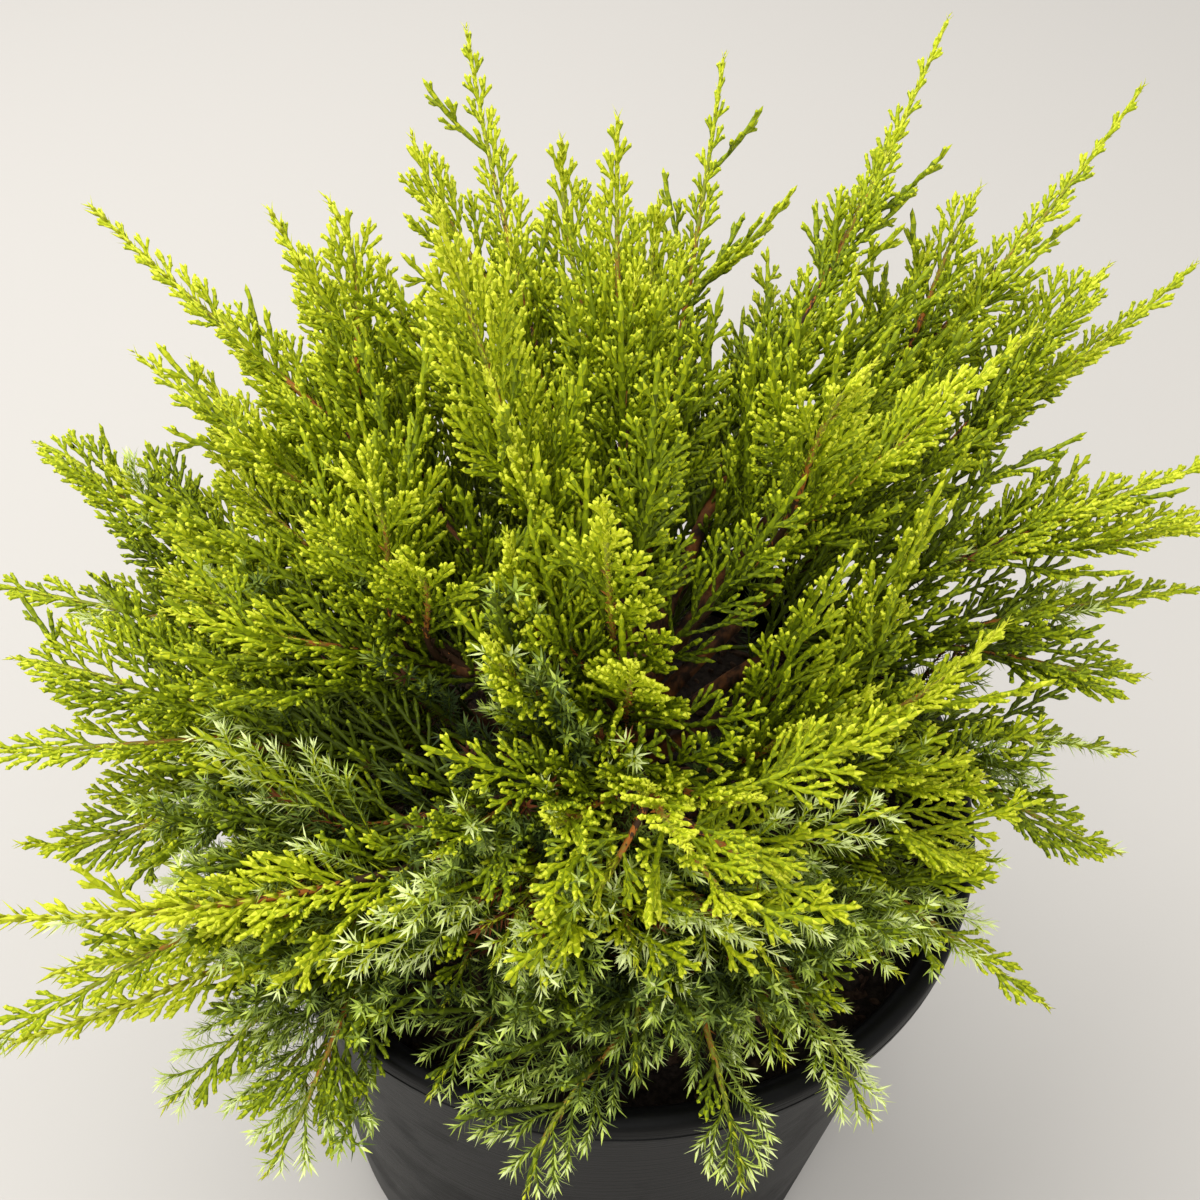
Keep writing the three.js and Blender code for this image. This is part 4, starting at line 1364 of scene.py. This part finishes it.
class BuildMix(bpy.types.Operator):
    """Heaps the potting mix and strews it with bark chips by Geometry Nodes"""

    bl_idname = "conifer.build_mix"
    bl_label = "Build potting mix"

    def execute(self, context):
        settings = context.scene.conifer_pot
        edge = MIX_RADIUS
        profile = [(0, 6.0), (MIX_FOOT_RADIUS, 6.0), (edge - 1.2, SOIL_TOP - 7), (edge - 3, SOIL_TOP - 6),
                   (100, SOIL_TOP - 4.2), (70, SOIL_TOP - 2.2), (25, SOIL_TOP - 0.5), (0, SOIL_TOP - 0.4)]
        ground = turned_piece("potting_mix", profile, MIX_SIDES)
        ground.data.materials.append(mix_finish("mix_ground", tuple(settings.mix), 2.2))
        dress(ground, "potting_mix", "soil")
        chips = chips_on(ground, settings.chips, mix_finish("mix_chips", CHIP_COLOUR, 2.4))
        dress(chips, "potting_mix", "soil")
        return {"FINISHED"}


class BuildLimbs(bpy.types.Operator):
    """Sweeps the trunk, boughs and woody twigs, with the bark's relief in the mesh"""

    bl_idname = "conifer.build_limbs"
    bl_label = "Build trunk, boughs and twigs"

    def execute(self, context):
        random = np.random.default_rng(BOUGH_SEED)
        lines_of = limb_lines()
        tubes = [trunk_tube()]
        boughs = [member["name"] for member in MASSES if member["bough"]]
        rings, sides = BOUGH_RINGS
        radii = lerp(BOUGH_ROOT_RADIUS, BOUGH_TIP_RADIUS, np.linspace(0, BOUGH_SHARE, rings) / BOUGH_SHARE)
        for name in boughs:
            line, start = lines_of[name][0]
            tubes.append(limb_tube(line, (0, start), radii, sides, BOUGH_BARK, random))
        wood = Growth()
        for corners, faces in tubes:
            wood.add(corners, faces, np.zeros(len(faces)))
        dress(wood.piece("trunk_and_boughs", [bark_finish()]), "bark", "trunk",
              *("bough_" + name for name in boughs))
        twig_finishes = plain_finishes(TWIG_BROWNS, 0.7, 0.25)
        dress(woody_twigs(lines_of).piece("woody_twigs", twig_finishes), "bark")
        return {"FINISHED"}


class BuildFoliage(bpy.types.Operator):
    """Grows the plumes of scale-leaved cords and the needled twigs, joined by group"""

    bl_idname = "conifer.build_foliage"
    bl_label = "Build foliage"

    def execute(self, context):
        lines_of = limb_lines()
        scale_finishes = plain_finishes(SCALE_GREENS, 0.58, 0.2)
        needle_finishes = plain_finishes({**NEEDLE_GREENS, **DEAD_BROWNS}, 0.6, 0.2)
        random_of = {member["name"]: np.random.default_rng(FIRST_SEED + SEED_STEP * index)
                     for index, member in enumerate(MASSES)}
        for name, group in GROUPS.items():
            scales, needles = grow_group(group, lines_of, context.scene.conifer_crown, random_of)
            masses = ["mass_" + member["name"] for member in group]
            dress(scales.piece("sprays_" + name, scale_finishes), "foliage", *masses)
            if needles.total:
                dress(needles.piece("needles_" + name, needle_finishes, False), "foliage", *masses)
        return {"FINISHED"}


def photo_camera():
    """A camera above the front of the pot, looking steeply down, as the photograph was taken."""
    pitch, yaw, roll = (math.radians(value) for value in (CAMERA_PITCH, CAMERA_YAW, CAMERA_ROLL))
    ahead = Vector((math.sin(yaw) * math.cos(pitch), math.cos(yaw) * math.cos(pitch), -math.sin(pitch)))
    level_right = ahead.cross(Vector((0, 0, 1))).normalized()
    level_up = level_right.cross(ahead)
    right = level_right * math.cos(roll) + level_up * math.sin(roll)
    up = level_up * math.cos(roll) - level_right * math.sin(roll)
    camera = add_object("camera", bpy.data.cameras.new("camera"))
    camera.data.lens = CAMERA_LENS
    camera.data.sensor_width = 36.0
    camera.data.clip_start = 0.01
    turned = Matrix((right, up, -ahead)).transposed().to_4x4()
    camera.matrix_world = Matrix.Translation(Vector(CAMERA_PLACE) * MM) @ turned
    return camera


class BuildStage(bpy.types.Operator):
    """Lays the pale floor and sets the soft light and the camera"""

    bl_idname = "conifer.build_stage"
    bl_label = "Build stage"

    def execute(self, context):
        settings = context.scene.conifer_stage
        scene = context.scene
        bpy.ops.mesh.primitive_plane_add(size=FLOOR_SIZE)
        floor = context.object
        floor.name = "floor"
        floor.data.materials.append(plain_finish("floor_paint", tuple(settings.floor), 0.8, 0.2))

        world = bpy.data.worlds.new("studio")
        world.use_nodes = True
        sky = world.node_tree.nodes["Background"].inputs
        sky["Color"].default_value = (1.0, 1.0, 1.0, 1.0)
        sky["Strength"].default_value = settings.sky
        scene.world = world

        for name, (place, size, share) in LIGHTS.items():
            lamp = bpy.data.lights.new(name, "AREA")
            lamp.shape = "SQUARE"
            lamp.size = size
            lamp.energy = settings.light * share
            holder = add_object(name, lamp)
            holder.location = place
            holder.rotation_euler = (Vector(LIT_PLACE) - Vector(place)).to_track_quat("-Z", "Y").to_euler()

        scene.camera = photo_camera()
        scene.view_settings.view_transform = "Standard"
        return {"FINISHED"}


class ConiferPanel(bpy.types.Panel):
    """Lists the steps that build the plant, with the sizes and colours that they take"""

    bl_label = "Potted conifer"
    bl_idname = "VIEW3D_PT_conifer"
    bl_space_type = "VIEW_3D"
    bl_region_type = "UI"
    bl_category = "Conifer"

    def draw(self, context):
        for group_name, group in SETTINGS.items():
            box = self.layout.box()
            for name in group.__annotations__:
                box.prop(getattr(context.scene, group_name), name)
        for operator in OPERATORS:
            self.layout.operator(operator.bl_idname)


SETTINGS = {"conifer_pot": ConiferPot, "conifer_crown": ConiferCrown, "conifer_stage": ConiferStage}
OPERATORS = (BuildPot, BuildMix, BuildLimbs, BuildFoliage, BuildStage)
CLASSES = (*SETTINGS.values(), *OPERATORS, ConiferPanel)


def register():
    for item in CLASSES:
        bpy.utils.register_class(item)
    for name, group in SETTINGS.items():
        setattr(bpy.types.Scene, name, bpy.props.PointerProperty(type=group))


def unregister():
    for name in SETTINGS:
        delattr(bpy.types.Scene, name)
    for item in reversed(CLASSES):
        bpy.utils.unregister_class(item)


def main():
    register()
    bpy.ops.conifer.build_pot()
    bpy.ops.conifer.build_mix()
    bpy.ops.conifer.build_limbs()
    bpy.ops.conifer.build_foliage()
    bpy.ops.conifer.build_stage()
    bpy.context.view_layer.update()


if __name__ == "__main__":
    main()
